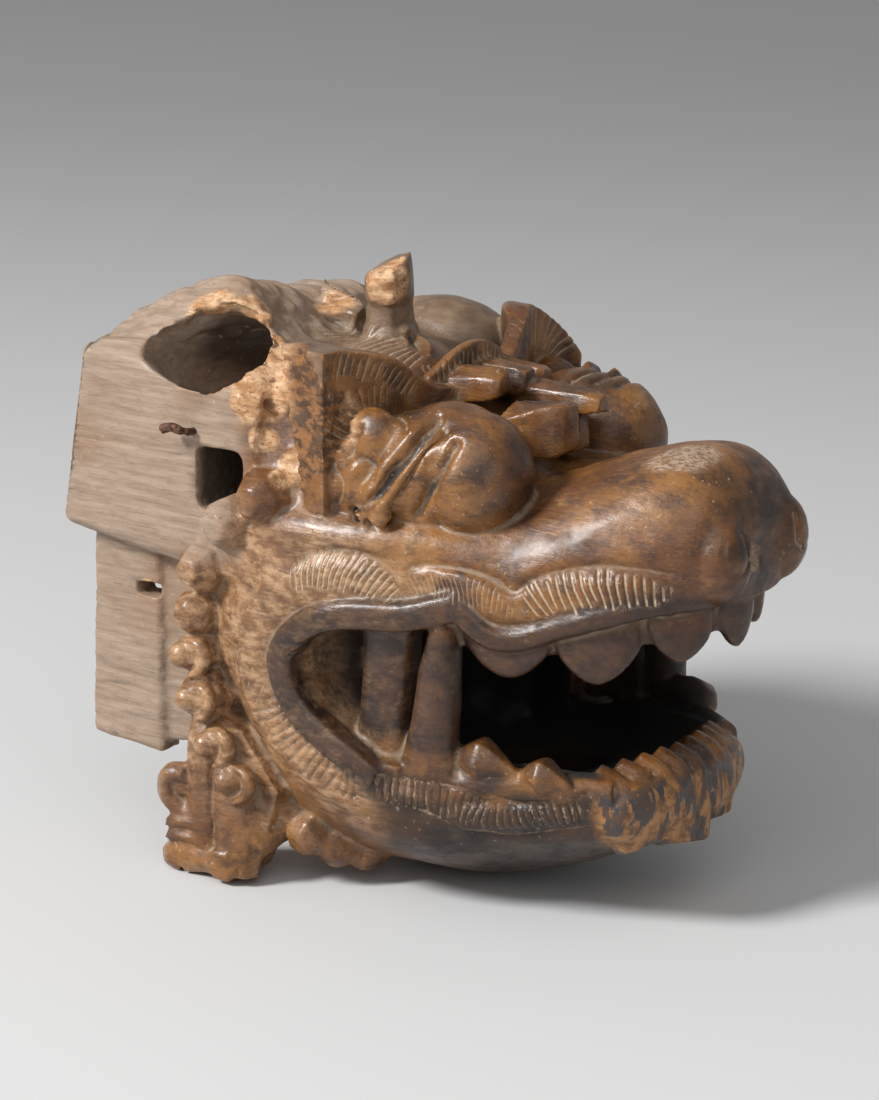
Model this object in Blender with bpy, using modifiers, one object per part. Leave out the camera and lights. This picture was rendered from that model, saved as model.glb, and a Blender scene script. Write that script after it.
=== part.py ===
"""A carved wooden barong head with an open mouth, and the bent iron nail in its side.

Front is -Y, up is +Z, and the side with the broken brow is -X. Sizes are in millimetres, in a
frame whose floor is z = 0 and whose middle plane is x = 0. The last step moves the whole to the
middle of its own box.
"""

import math

import bmesh
import bpy
import numpy as np
from mathutils import Matrix, Vector

MM = 0.001

# Driving sizes: the whole head, then its parts
HEAD_WIDE = 176.5
HEAD_LONG = 288.1
HEAD_TALL = 241.7
EYE_RADIUS = 21.5
EYE_TALL = 1.13
EYE_X = 45.0
EYE_Y = -25.0
EYE_Z = 173.0
FAR_EYE_DROP = 4.0
FANG_TOP = 119.0
FANG_RADIUS = 10.0
POST_WIDTH = 21.0
TOOTH_WALL = 9.0
RIM_RADIUS = 5.8
LIP_RADIUS = 4.8
BAND_RAISE = 2.6
PEG_REACH = 82.0
STRAND_WIDTH = 9.0
BLOCK_HALF = 72.0
ROOF_SAG = 0.38
BACK_FOOT = 157.7
BACK_LEAN = 0.185
PANEL_FACE = 62.0
PANEL_THICK = 12.0
SOCKET_LONG = 28.0
SOCKET_SHORT = 18.0
SOCKET_DEPTH = 54.0
MORTISE_SIDE = 23.0
MORTISE_DEPTH = 30.0
HOLLOW_HALF = 49.0
NAIL_RADIUS = 1.3
NAIL_HOLE = 1.9
FORM_VOXEL = 2.4
WHOLE_VOXEL = 2.0
MOST_TRIANGLES = 9000
LEVEL_UNDER = 0.8


# Smooth lines and closed skins


def between(at, values, u):
    """Values at u on a smooth curve through the given ones, by cubic pieces."""
    at = np.asarray(at, float)
    values = np.asarray(values, float)
    slope = np.gradient(values, at, axis=0)
    k = np.clip(np.searchsorted(at, u, side="right") - 1, 0, len(at) - 2)
    step = at[k + 1] - at[k]
    shape = (-1,) + (1,) * (values.ndim - 1)
    s = ((u - at[k]) / step).reshape(shape)
    step = step.reshape(shape)
    start = (1 + 2 * s) * (1 - s) ** 2 * values[k] + s * (1 - s) ** 2 * step * slope[k]
    return start + s * s * (3 - 2 * s) * values[k + 1] - s * s * (1 - s) * step * slope[k + 1]


def along(points):
    """Distance along a line at each of its points."""
    steps = np.linalg.norm(np.diff(np.asarray(points, float), axis=0), axis=1)
    return np.concatenate([[0.0], np.cumsum(steps)])


def spaced(points, count):
    """Points spaced evenly on the smooth line through the given ones."""
    at = along(points)
    return between(at, points, np.linspace(0, at[-1], count))


def skin(bm, rings):
    """A closed surface through rings of points, with a face on the first ring and the last."""
    loops = [[bm.verts.new(p) for p in ring] for ring in rings]
    for a, b in zip(loops, loops[1:]):
        for i in range(len(a)):
            j = (i + 1) % len(a)
            bm.faces.new((a[i], a[j], b[j], b[i]))
    bm.faces.new(loops[0][::-1])
    bm.faces.new(loops[-1])


def loft(bm, sections, gap=5.0, half_points=22, sag=0.0, widest=100.0):
    """The surface through half profiles, each mirrored in x = 0, that stand along Y.

    With a sag, the top of the +X side comes out lower by that share of x. The sides are planed
    off at x = widest."""
    places = sorted(sections)
    halves = np.array([spaced(sections[y], half_points) for y in places])
    ys = np.arange(places[0], places[-1] + gap / 2, gap)
    ys[-1] = places[-1]
    profiles = between(np.array(places), halves, ys)
    profiles[:, 0, 0] = 0.0
    profiles[:, -1, 0] = 0.0
    profiles[..., 0] = np.maximum(profiles[..., 0], 0.0)
    rings = []
    for y, half in zip(ys, profiles):
        other = half[-2:0:-1] * (-1, 1)
        ring = np.concatenate([half, other])
        low, high = half[:, 1].min(), half[:, 1].max()
        drop = sag * np.maximum(ring[:, 0], 0) * np.clip((ring[:, 1] - high + 40) / 30, 0, 1)
        ring[:, 1] = np.maximum(ring[:, 1] - drop, low)
        ring[:, 0] = np.clip(ring[:, 0], -widest, widest)
        rings.append([(x, y, z) for x, z in ring])
    skin(bm, rings)


def sweep(bm, path, wide, deep, out, points=14, gap=3.0):
    """A tube along a path: wide across it in the surface, deep along the direction out."""
    path = np.asarray(path, float)
    at = along(path)
    count = max(4, int(at[-1] / gap))
    u = np.linspace(0, at[-1], count)
    line = between(at, path, u)
    wide = np.interp(u, at, np.broadcast_to(wide, at.shape))
    deep = np.interp(u, at, np.broadcast_to(deep, at.shape))
    tangent = np.gradient(line, axis=0)
    tangent /= np.linalg.norm(tangent, axis=1)[:, None]
    out = np.broadcast_to(np.asarray(out, float), line.shape)
    out = out - (out * tangent).sum(1)[:, None] * tangent
    out = out / np.linalg.norm(out, axis=1)[:, None]
    across = np.cross(tangent, out)
    turn = np.linspace(0, 2 * math.pi, points, endpoint=False)
    rings = [
        c + w * np.cos(turn)[:, None] * a + d * np.sin(turn)[:, None] * o
        for c, w, a, d, o in zip(line, wide, across, deep, out)
    ]
    skin(bm, rings)


def wall(bm, rows, side=1):
    """An upright plate: each row is x, y, low z, high z, low thickness, high thickness."""
    rows = np.asarray(rows, float) * (side, 1, 1, 1, 1, 1)
    along_plan = np.gradient(rows[:, :2], axis=0)
    along_plan /= np.linalg.norm(along_plan, axis=1)[:, None]
    back = np.stack([-along_plan[:, 1], along_plan[:, 0]], axis=1)
    back *= np.where(back[:, 1] < 0, -1.0, 1.0)[:, None]
    rings = []
    for (x, y, low, high, base, top), (bx, by) in zip(rows, back):
        rings.append(
            [
                (x, y, low),
                (x + bx * base, y + by * base, low),
                (x + bx * top, y + by * top, high),
                (x, y, high),
            ]
        )
    skin(bm, rings)


def plate(bm, outline, low, high):
    """An outline in the YZ plane pushed out from x = low to x = high."""
    face = bm.faces.new([bm.verts.new((low, y, z)) for y, z in outline])
    made = bmesh.ops.extrude_face_region(bm, geom=[face])["geom"]
    moved = [v for v in made if isinstance(v, bmesh.types.BMVert)]
    bmesh.ops.translate(bm, verts=moved, vec=(high - low, 0, 0))


def ball(bm, centre, radii, turn=(0, 0, 0)):
    """An ellipsoid."""
    matrix = Matrix.Translation(centre)
    for angle, axis in zip(turn, "XYZ"):
        matrix = matrix @ Matrix.Rotation(math.radians(angle), 4, axis)
    matrix = matrix @ Matrix.Diagonal((*radii, 1))
    bmesh.ops.create_uvsphere(bm, u_segments=24, v_segments=14, radius=1, matrix=matrix)


def peg(bm, start, end, radius, end_radius, sides=6, turn=0.0):
    """A faceted peg from start to end."""
    start, end = Vector(start), Vector(end)
    line = end - start
    matrix = Matrix.Translation((start + end) / 2)
    matrix = matrix @ line.to_track_quat("Z", "Y").to_matrix().to_4x4()
    matrix = matrix @ Matrix.Rotation(math.radians(turn), 4, "Z")
    bmesh.ops.create_cone(
        bm,
        cap_ends=True,
        segments=sides,
        radius1=radius,
        radius2=end_radius,
        depth=line.length,
        matrix=matrix,
    )


def knob(bm, start, end, radius, sides=6, turn=0.0):
    """A faceted knob from start to end. It swells two thirds of the way out and is bevelled."""
    start, end = Vector(start), Vector(end)
    spin = np.array((end - start).to_track_quat("X", "Z").to_matrix())
    u = np.linspace(0, 2 * math.pi, sides, endpoint=False) + math.radians(turn)
    ring = np.stack([0 * u, np.cos(u), np.sin(u)], axis=-1) @ spin.T * radius
    start, end = np.array(start), np.array(end)
    steps = ((0, 0.92), (0.62, 1.08), (0.8, 1.0), (1, 0.55))
    skin(bm, [start + (end - start) * t + ring * grow for t, grow in steps])


def chip(bm, back, front, bevel=0.8):
    """A cut block between two faces of four corners (x, z) at the places y that come first."""
    rings = []
    for y, *corners in (back, front):
        rings.append(np.insert(np.array(corners, float), 1, y, axis=1))
    near = rings[0] + (rings[1] - rings[0]) * 0.86
    middle = rings[1].mean(0)
    skin(bm, [rings[0], near, middle + (rings[1] - middle) * bevel])


def sided(points, side):
    """The same points on the side given as -1 or 1, from a list that has x positive."""
    return [(side * x, y, z) for x, y, z in points]


# The big masses, as half profiles (x, z) from the top middle to the bottom middle


SNOUT = {
    -124: [(0, 163), (8, 161), (13, 153), (12, 144), (0, 140)],
    -121.5: [(0, 173), (14, 169), (23, 158), (24, 146), (18, 136), (0, 133)],
    -116: [(0, 180.5), (18, 175.5), (29, 165), (33, 152), (31, 140), (21, 133), (0, 131)],
    -106: [(0, 186), (18, 182.5), (32, 171), (39, 158), (40, 147), (37, 137), (25, 134), (0, 133)],
    -95: [(0, 186.5), (20, 183), (34, 174), (41, 162), (45, 150), (44, 138), (40, 133), (0, 131)],
    -78: [(0, 183), (20, 180), (37, 171), (46, 160), (51, 148), (51, 137), (48, 128), (0, 126)],
    -60: [(0, 177), (20, 174), (39, 167), (50, 157), (57, 145), (58, 132), (55, 120), (0, 118)],
    -45: [(0, 171), (22, 169), (42, 162), (55, 153), (61, 142), (62, 130), (60, 118), (0, 116)],
    -25: [(0, 170), (24, 169), (42, 164), (56, 156), (64, 148), (67, 138), (64, 119), (0, 116)],
    -5: [(0, 186), (25, 183), (44, 174), (57, 161), (66, 151), (72, 139), (70, 119), (0, 115)],
    20: [(0, 201), (25, 198), (46, 189), (58, 176), (66, 159), (75, 145), (78, 122), (0, 112)],
    45: [(0, 206), (25, 204), (46, 196), (60, 184), (68, 166), (76, 150), (79, 122), (0, 108)],
    70: [(0, 210), (28, 209), (52, 203), (66, 191), (71, 171), (74, 150), (74, 120), (0, 108)],
    100: [(0, 212), (28, 211), (52, 206), (67, 197), (71, 175), (71, 150), (66, 117), (0, 108)],
}

JAW = {
    -100: [(0, 58), (12, 58), (18, 54), (19, 48), (12, 42), (0, 40)],
    -94: [(0, 61), (24, 61), (35, 57), (38, 50), (33, 41), (20, 36), (0, 35)],
    -82: [(0, 63), (34, 63), (42, 59), (46, 50), (43, 41), (30, 32), (0, 28)],
    -60: [(0, 63), (42, 63), (50, 60), (54, 50), (52, 39), (38, 26), (20, 19), (0, 18)],
    -35: [(0, 61), (48, 61), (58, 58), (62, 50), (59, 37), (45, 22), (25, 11), (0, 9)],
    -15: [(0, 54), (54, 54), (65, 52), (69, 43), (66, 32), (51, 18), (28, 7), (0, 0)],
    8: [(0, 54), (60, 54), (72, 50), (75, 44), (71, 33), (55, 18), (30, 6.5), (0, -1)],
}

JOWL = {
    -8: [(0, 118), (58, 118), (70, 112), (72, 95), (72, 70), (71, 42), (67, 31), (52, 18),
         (28, 6.5), (0, 0)],
    8: [(0, 118), (62, 118), (74, 112), (76, 95), (76, 70), (75, 45), (71, 33), (55, 18),
        (30, 6.5), (0, 0)],
    28: [(0, 120), (66, 122), (77, 112), (79, 94), (79, 72), (76, 49), (71, 35), (54, 18),
         (30, 5), (0, 0)],
    45: [(0, 124), (68, 126), (78, 116), (80, 98), (79, 78), (76, 56), (69, 38), (50, 20), (0, 6)],
    60: [(0, 128), (66, 130), (77, 117), (79, 99), (78, 80), (73, 63), (63, 46), (46, 31), (0, 19)],
    73: [(0, 128), (60, 130), (73, 116), (75, 99), (73, 84), (67, 70), (57, 55), (42, 42), (0, 30)],
    84: [(0, 126), (56, 126), (67, 114), (69, 99), (67, 86), (61, 74), (51, 62), (37, 51), (0, 39)],
    91: [(0, 124), (50, 122), (58, 112), (60, 99), (59, 88), (55, 78), (48, 68), (36, 57), (0, 42)],
    116: [(0, 122), (50, 120), (57, 111), (58, 98), (58, 86), (55, 75), (48, 62), (36, 52), (0, 44)],
}

BLOCK = {
    60: [(0, 208), (28, 209), (48, 206), (66, 197), (71, 180), (71, 140), (66, 122), (0, 120)],
    72: [(0, 210), (28, 214), (47, 215), (62, 206), (72, 196), (72, 150), (70, 124), (0, 122)],
    86: [(0, 219), (26, 227), (42, 230), (58, 214), (72, 198), (72, 155), (72, 127), (0, 126)],
    104: [(0, 221), (25, 229), (40, 231), (58, 215), (73, 199), (73, 155), (73, 129), (0, 128)],
    126: [(0, 218), (25, 221), (41, 223), (58, 212), (73, 201), (73, 160), (73, 131), (0, 130)],
    142: [(0, 213), (25, 215), (40, 215), (57, 208), (73, 203), (73, 165), (73, 133), (0, 132)],
    160: [(0, 206), (25, 207), (40, 207), (57, 205), (73, 204), (73, 170), (73, 135), (0, 134)],
}


# The carved details, as lines (x, y, z) on the side with x positive


RIM = [
    (64, -30, 128), (69.5, -11, 122), (74, 9, 120), (76, 23, 116.5), (77.5, 36, 108),
    (78, 42, 99), (78, 41.5, 90), (77, 35, 78), (76.3, 24.5, 70), (75, 13, 63), (72.5, 2, 55),
]
LOWER_LIP = [
    (73, 16, 58), (71, 4, 51), (66.5, -8, 48), (62.5, -22, 52), (57.5, -38, 56.5),
    (53, -54, 58), (47, -70, 58), (40, -84, 57),
]
UPPER_LIP = [
    (65, -27, 131), (64, -35, 123), (61.5, -43, 117.5), (57.5, -56, 118.5), (53.5, -68, 123.5),
    (49, -83, 129), (42.5, -94, 133), (31, -105.5, 135.5), (18, -113.5, 136), (0, -118, 136),
]
MOUSTACHE = [
    (67, -14, 134), (65, -27, 137.5), (64, -37, 134), (61.5, -47, 129.5), (58, -57, 131.5),
    (54.5, -69, 135.5), (51, -81, 138.5), (46, -92, 140.5), (39, -101, 141), (32, -107, 141),
]
JOWL_BAND = [
    (69.5, -6, 131), (73, 4, 132), (75.5, 16, 133.5), (77.5, 28, 130), (78.5, 40, 124),
    (79, 50, 113), (79, 55, 99), (79, 53, 84), (78.5, 46, 71), (77.5, 34, 60), (76, 22, 51),
    (73, 10, 45), (69, -5, 43), (65, -21, 43.5), (58.5, -46, 46), (52, -65, 49), (44, -82, 52),
]
CHEEK = [
    (64, 66, 138), (68, 55, 143), (69, 40, 146), (67.5, 26, 146), (64, 8, 146), (59, -10, 146),
    (54, -26, 145), (48, -42, 145), (42, -58, 146), (36, -72, 148),
]
FOLDS = [
    [(50, -10, 195), (60, -7, 189), (66, -1, 179), (69.5, 5, 167), (71, 11, 156)],
    [(54, -20, 193), (63, -16, 186), (68, -10, 176), (70, -3, 166), (71, 4, 156)],
]
CHIPS = (
    ((9, (-17, 190), (-17, 200), (-8, 204), (-2, 190)), (-13, (-16, 194), (-15, 202), (-8, 206), (-3, 195))),
    ((9, (-1, 190), (1, 203), (10, 204), (12, 190)), (-14, (-1, 193), (1, 203), (9, 203), (12, 194))),
    ((9, (13, 190), (14, 201), (24, 201), (25, 189)), (-13, (14, 192), (15, 201), (22, 200), (24, 192))),
    ((-18, (-26, 174), (-25, 189), (-10, 194), (-6, 176)),
     (-42, (-14, 175), (-12.5, 197), (-2, 196), (0, 175))),
    ((-8, (1, 187), (2, 196), (11, 199), (15, 186)), (-46, (3, 189), (4.5, 196), (11, 197), (14, 188))),
    ((-8, (2, 172), (3, 190), (13, 190), (15, 172)), (-37, (3, 172), (4, 190), (12, 190), (14, 172))),
)
GUM = [
    (59, -28, 110), (57, -40, 108), (54, -52, 108), (50.5, -65, 111), (45, -79, 109),
    (38, -93, 117), (27, -106, 117), (16, -110, 119), (0, -113, 119),
]
TEETH = [
    (-55.5, -46, 19, 100.5, -0.15), (-45, -79, 16.5, 101.5, -0.45), (-27, -104, 13, 110, -1.1),
    (-3, -112.5, 10, 111.5, -9.0), (24, -103, 12, 112, 1.1), (45, -79, 16.5, 101.5, 0.45),
    (55.5, -46, 19, 100.5, 0.15),
]
MOLARS = [(-58, -36.5, 66, 15, 10), (-54, -62, 64.5, 11, 7.5)]
PEGS = [
    (54, 158, 66, 12), (70, 145, 66, 12), (84, 125, 62, 11), (88, 106, 61, 10.5),
    (88, 90, 60, 10), (84, 73, 60, 12), (75, 56, 58, 10.5), (65, 43, 56, 9),
]
CHIN_PEGS = [
    (61, 50, 27, 9), (62, 40, 20, 10.5), (55, 31, 14.5, 9.5), (46, 23, 11.5, 8.5),
]
FOOT = [
    (92, 44), (86, 62), (66, 62), (48, 40), (52, 26), (64, 3),
    (72, 0), (92, 1), (96, 12), (86, 22), (84, 34),
]
FIN_INNER = [
    (12, 4, 180, 196, 9, 6), (28, 9, 172, 200, 12, 7), (42, 13, 164, 211, 14, 8),
    (55, 19, 156, 215.5, 16, 12),
]
FIN_BROKEN = [(66, 23, 154, 218, 16, 20), (75, 25, 156, 218, 11, 25)]
FIN_WHOLE = [(64, 18, 154, 209, 15, 8), (71, 16, 156, 203, 12, 6), (76.5, 10, 160, 191, 8, 4)]
NAIL = [
    (-64, 90.3, 178.3), (-70, 90.3, 178.3), (-74.5, 90.3, 178.4),
    (-78, 91.5, 179.6), (-79.5, 95, 180.6), (-79.8, 99, 179.5),
]


def add_eye(bm, side):
    """The ball of one eye, its lid folds, the temple scroll behind it and the cheek below."""
    drop = FAR_EYE_DROP if side > 0 else 0
    radii = (EYE_RADIUS, EYE_RADIUS, EYE_RADIUS * EYE_TALL)
    ball(bm, (side * EYE_X, EYE_Y, EYE_Z - drop), radii)
    ball(bm, (side * 43, -13, 177 - drop), (21, 26, 22))
    ball(bm, (side * 49, -4, 172 - drop), (20.5, 24, 24))
    ball(bm, (side * 48, -33, 173 - drop), (15, 14, 16))
    ball(bm, (side * 60, 12, 184 - drop), (9, 12, 13))
    ball(bm, (side * 60, 20, 170), (12, 14, 19))
    for fold in FOLDS:
        sweep(bm, sided(fold, side), [1.5, 3, 4.2, 4.8, 4.6], [1.5, 3, 3.6, 3.6, 3], (side, -0.3, 0.4), 10)
    sweep(bm, sided(CHEEK, side), [8, 10, 10, 10, 10, 10, 9, 8, 5, 2], 10, (side, 0, 0.3))


def add_mouth_side(bm, side):
    """Rim, lips, hatched bands and the tall teeth of one side."""
    out = (side, -0.1, 0)
    sweep(bm, sided(RIM, side), RIM_RADIUS, RIM_RADIUS, out)
    sweep(bm, sided(LOWER_LIP, side), 7.0, 6.0, out)
    around = [(side, 0, 0)] * 7 + [(side * 0.8, -0.5, 0), (side * 0.4, -1, 0), (side * 0.01, -1, 0)]
    line = sided(UPPER_LIP, side)
    at = along(line)
    outs = between(at, around, np.linspace(0, at[-1], max(4, int(at[-1] / 3.0))))
    sweep(bm, line, LIP_RADIUS, LIP_RADIUS, outs)
    sweep(bm, sided(MOUSTACHE, side), [3, 4.5, 6, 6.5, 7, 7, 6.5, 5.5, 4, 2], BAND_RAISE, out)
    widths = [3, 6, 7, 8, 9, 9, 9, 9, 9, 9, 8, 7.5, 7, 6.5, 5.5, 4.5, 3]
    sweep(bm, sided(JOWL_BAND, side), widths, BAND_RAISE, out)
    x, y = (60, -40) if side > 0 else (-62, -16)
    fang = [(x, y + 1, 54), (x, y, 64), (x, y - 2, 80), (x, y - 4, 100), (x, y - 7, FANG_TOP)]
    r = FANG_RADIUS
    sweep(bm, fang, [r * 1.5, r * 1.15, r * 0.95, r * 0.8, r * 0.45], r * 0.8, out)
    half = POST_WIDTH / 2
    post = [(60, 9, 54), (60, 7, 66), (60, 6, 80), (60, 4, 100), (61, 3, 118)]
    sweep(bm, sided(post, side), [half * 1.5, half * 1.1, half, half, half * 1.2], half * 0.8, out, 8)
    ball(bm, (side * 61, -3, 56), (9, 11, 7))


def add_molars(bm):
    """Low pointed mounds on the near gum, and the block of a molar and a web on the far one."""
    for x, y, z, half_long, rise in MOLARS:
        inner = x + 0.1 * half_long
        line = [(inner, y - half_long, z - 3), (x, y, z), (inner, y + half_long, z - 3)]
        sweep(bm, line, [2, 8.5, 2], [2, rise, 2], (0, 0, 1), 6)
    knob(bm, (57, -44, 63), (52, -69, 65), 9.5, 6, 30)
    wall(bm, [(56, -36, 60, 120, 5, 5), (57, -20, 58, 122, 5, 5), (58, 2, 58, 122, 5, 5)])


def add_teeth(bm):
    """The gum behind the upper lip, and its teeth, which hang down like petals."""
    line = [(-x, y, z) for x, y, z in GUM] + GUM[-2::-1]
    wall(bm, [(x, y, z, z + 22, 3, TOOTH_WALL) for x, y, z in line])
    share = np.array([1.0, 0.98, 0.82, 0.6, 0.36, 0.12])
    lean = np.array([-2.5, 0.0, 0.6, 0.9, 1.0, 1.0])
    for x, y, half, tip, way in TEETH:
        out = np.array((math.copysign(1, x), -abs(way), 0.0))
        out /= np.linalg.norm(out)
        heights = (tip + 27, tip + 14, tip + 9, tip + 5, tip + 2, tip + 0.3)
        path = np.array([(x, y, z) for z in heights]) + lean[:, None] * out
        sweep(bm, path, half * share, [6, 5, 4.4, 3.8, 3.2, 2], out, 12, 3.0)


def add_brow(bm, side):
    """The upright hatched brow fin. Its outer end is broken off on the -X side."""
    rows = np.array(FIN_INNER + (FIN_BROKEN if side < 0 else FIN_WHOLE), float)
    if side > 0:
        rows[:4, 3] = (195, 202, 212, 214.5)
    wall(bm, rows, side)


def add_forehead(bm):
    """The cut blocks between the eyes, the lobes behind them and what is left of the crest."""
    for back, front in CHIPS:
        chip(bm, back, front)
    wall(bm, [
        (-24, 13, 182, 201, 6, 4), (-12, 10, 182, 208, 7, 4), (-3, 9, 182, 211, 8, 4),
        (12, 9, 182, 209, 8, 4), (28, 11, 182, 198, 8, 4),
    ])
    ball(bm, (44, 56, 195), (23, 34, 20))
    ball(bm, (-48, 50, 194), (15, 22, 16))
    ball(bm, (-8, 43, 194), (29, 28, 17))
    chip(
        bm,
        (84, (-6, 200), (-3, 218), (3, 226), (10, 204)),
        (62, (-8, 204), (-6, 216), (2, 221), (8, 206)),
    )
    u = np.linspace(0, 2 * math.pi, 7, endpoint=False) + 0.3
    plan = np.stack([0.95 * np.cos(u), 0.85 * np.sin(u), 0 * u], axis=-1)
    rings = []
    for z, grow, x, y in (
        (203, 14, -4, 46), (212.5, 13, -4, 46), (214, 11.5, -4, 46.5), (222, 10.5, -3.5, 46.5),
        (225, 11.5, -4.5, 46), (234, 11, -4.5, 46),
    ):
        rings.append(plan * grow + (x, y, z))
    top = plan * 9 + (-3, 46, 239)
    top[:, 2] += 0.3 * (top[:, 0] + 2) - 0.3 * (top[:, 1] - 46)
    skin(bm, rings + [top])


def add_nose(bm):
    """Wings of the nose and the heavy front of the snout."""
    ball(bm, (-20, -116.5, 150), (13, 11.5, 17))
    ball(bm, (20, -116.5, 150), (13, 11.5, 17))


def add_beard(bm):
    """Short locks under the lower lip, which lean sideways as they fall."""
    count = 9
    for i in range(count):
        x = -38 + 8.6 * i + np.array([0, 2.5, 2.5, 5.5, 6.0])
        y = -77 - 13.5 * np.cos(np.clip(x, -44, 44) / 44 * math.pi / 2)
        low = 29 + 5 * ((i * 3) % 4) / 3 + (4 if i in (0, count - 1) else 0)
        high = 62 + 3 * math.sin(math.pi * (i + 1) / (count + 1))
        path = np.stack([x, y + (6, 0, -2, -2, -4), (high, high - 6, 49, 39, low)], axis=-1)
        sweep(bm, path, [4.5, 5.8, 6.2, 5.8, 3.6], [6, 9, 10, 9, 6], (0, -1, 0), 8)


def add_collar(bm, side):
    """Faceted pegs around the back of the jowl, and the scrolled foot under them."""
    for i, (y, z, root, size) in enumerate(PEGS):
        reach = PEG_REACH - (2 if i in (3, 4) else 0)
        start = (side * (root - 14), y - 2, z)
        knob(bm, start, (side * (reach + 2), y + 2, z), size * 0.92, 6, 25 * i)
        ball(bm, (side * (root - 3), y - 1, z - 7), (13, 8, 9))
        if i > 3:
            bend = [(0, 6), (-5, 5), (-8, 0), (-6, -5), (-1, -8)]
            curl = [(side * (reach - 1 + 0.5 * k), y + a, z + b) for k, (a, b) in enumerate(bend)]
            sweep(bm, curl, [1.6, 2.6, 3.0, 2.6, 1.4], 3, (side, 0, 0), 6)
    for x, y, z, size in CHIN_PEGS:
        ends = (side * (x - 14), y, z + 10), (side * (x + 9), y + 3, z - 2)
        knob(bm, *ends, size * 0.95, 5, 30 * x)
    w = STRAND_WIDTH / 2
    out = (side, 0, 0)
    for path, wide, deep in (
        ([(68, 84, 74), (75, 84, 58), (78, 83, 42), (79, 82, 28), (79, 81, 14)], w * 1.6, 7),
        ([(64, 66, 56), (73, 68, 46), (77, 67, 30), (78, 66, 14), (78, 67, 4)], w * 2.3, 8),
        ([(79, 82, 27), (81, 90, 26), (83, 97, 33), (83, 95, 41), (82, 88, 42)], w * 0.9, 5.5),
        ([(79, 80, 22), (81, 92, 22), (81, 96, 20)], w * 0.8, 7),
        ([(79, 80, 16), (81, 92, 16), (81, 96, 15)], w * 0.8, 7),
        ([(79, 80, 10), (80, 92, 9), (79, 97, 6), (78, 92, 3)], w * 1.3, 7),
        ([(78, 66, 6), (78, 78, 8), (78, 90, 6)], w * 1.6, 9),
    ):
        sweep(bm, sided(path, side), wide, deep, out, 8)
    low, high = sorted((side * 60, side * 76))
    plate(bm, FOOT, low, high)
    peg(bm, (side * 66, 70, 9), (side * 87, 69, 8), 9.5, 7, 6)
    peg(bm, (side * 52, 58, 30), (side * 79, 62, 17), 13, 9, 6)
    ball(bm, (side * 80, 91, 36), (5, 6, 6))
    ball(bm, (side * 70, 60, 28), (9, 8, 8))


def add_panel(bm, side):
    """The flat plate that hangs behind the jowl, with its stepped front edge."""
    outline = [(118, 134), (151, 134), (155, 40), (118, 38)]
    low, high = sorted((side * (PANEL_FACE - PANEL_THICK), side * PANEL_FACE))
    plate(bm, outline, low, high)
    low, high = sorted((side * (PANEL_FACE - PANEL_THICK), side * (PANEL_FACE - 3)))
    plate(bm, [(96, 126), (122, 126), (122, 42), (100, 46)], low, high)


# Building


def new_collection(name):
    made = bpy.data.collections.new(name)
    bpy.context.scene.collection.children.link(made)
    return made


def stretch():
    """How much each axis is stretched: the wanted size over the size that the tables draw."""
    return np.array((HEAD_WIDE / 176.5, HEAD_LONG / 288.1, HEAD_TALL / 241.7))


def object_from(bm, name, collection):
    """An object from a bmesh in millimetres."""
    bmesh.ops.scale(bm, vec=stretch() * MM, verts=bm.verts)
    bmesh.ops.recalc_face_normals(bm, faces=bm.faces)
    mesh = bpy.data.meshes.new(name)
    bm.to_mesh(mesh)
    bm.free()
    obj = bpy.data.objects.new(name, mesh)
    collection.objects.link(obj)
    return obj


def helper(obj):
    """Marks an object as a cutter, which is no part of the model."""
    obj.hide_render = True
    obj.display_type = "WIRE"
    return obj


def made_real(obj):
    """Replaces an object's mesh by the result of its modifiers."""
    graph = bpy.context.evaluated_depsgraph_get()
    mesh = bpy.data.meshes.new_from_object(obj.evaluated_get(graph))
    obj.modifiers.clear()
    obj.data = mesh


def remesh(obj, voxel):
    step = obj.modifiers.new("one skin", "REMESH")
    step.mode = "VOXEL"
    step.voxel_size = voxel * MM
    made_real(obj)


def cut(obj, cutter):
    step = obj.modifiers.new("cut " + cutter.name, "BOOLEAN")
    step.operation = "DIFFERENCE"
    step.solver = "EXACT"
    step.object = cutter
    made_real(obj)


def thin_out(obj, triangles):
    """Fewer triangles, with the form kept."""
    count = sum(len(p.vertices) - 2 for p in obj.data.polygons)
    if count > triangles:
        step = obj.modifiers.new("fewer faces", "DECIMATE")
        step.ratio = triangles / count
        made_real(obj)


def material(name, colour, roughness, metallic=0.0):
    made = bpy.data.materials.new(name)
    made.use_nodes = True
    shader = made.node_tree.nodes["Principled BSDF"]
    shader.inputs["Base Color"].default_value = (*colour, 1)
    shader.inputs["Roughness"].default_value = roughness
    shader.inputs["Metallic"].default_value = metallic
    made.diffuse_color = (*colour, 1)
    return made


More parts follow.
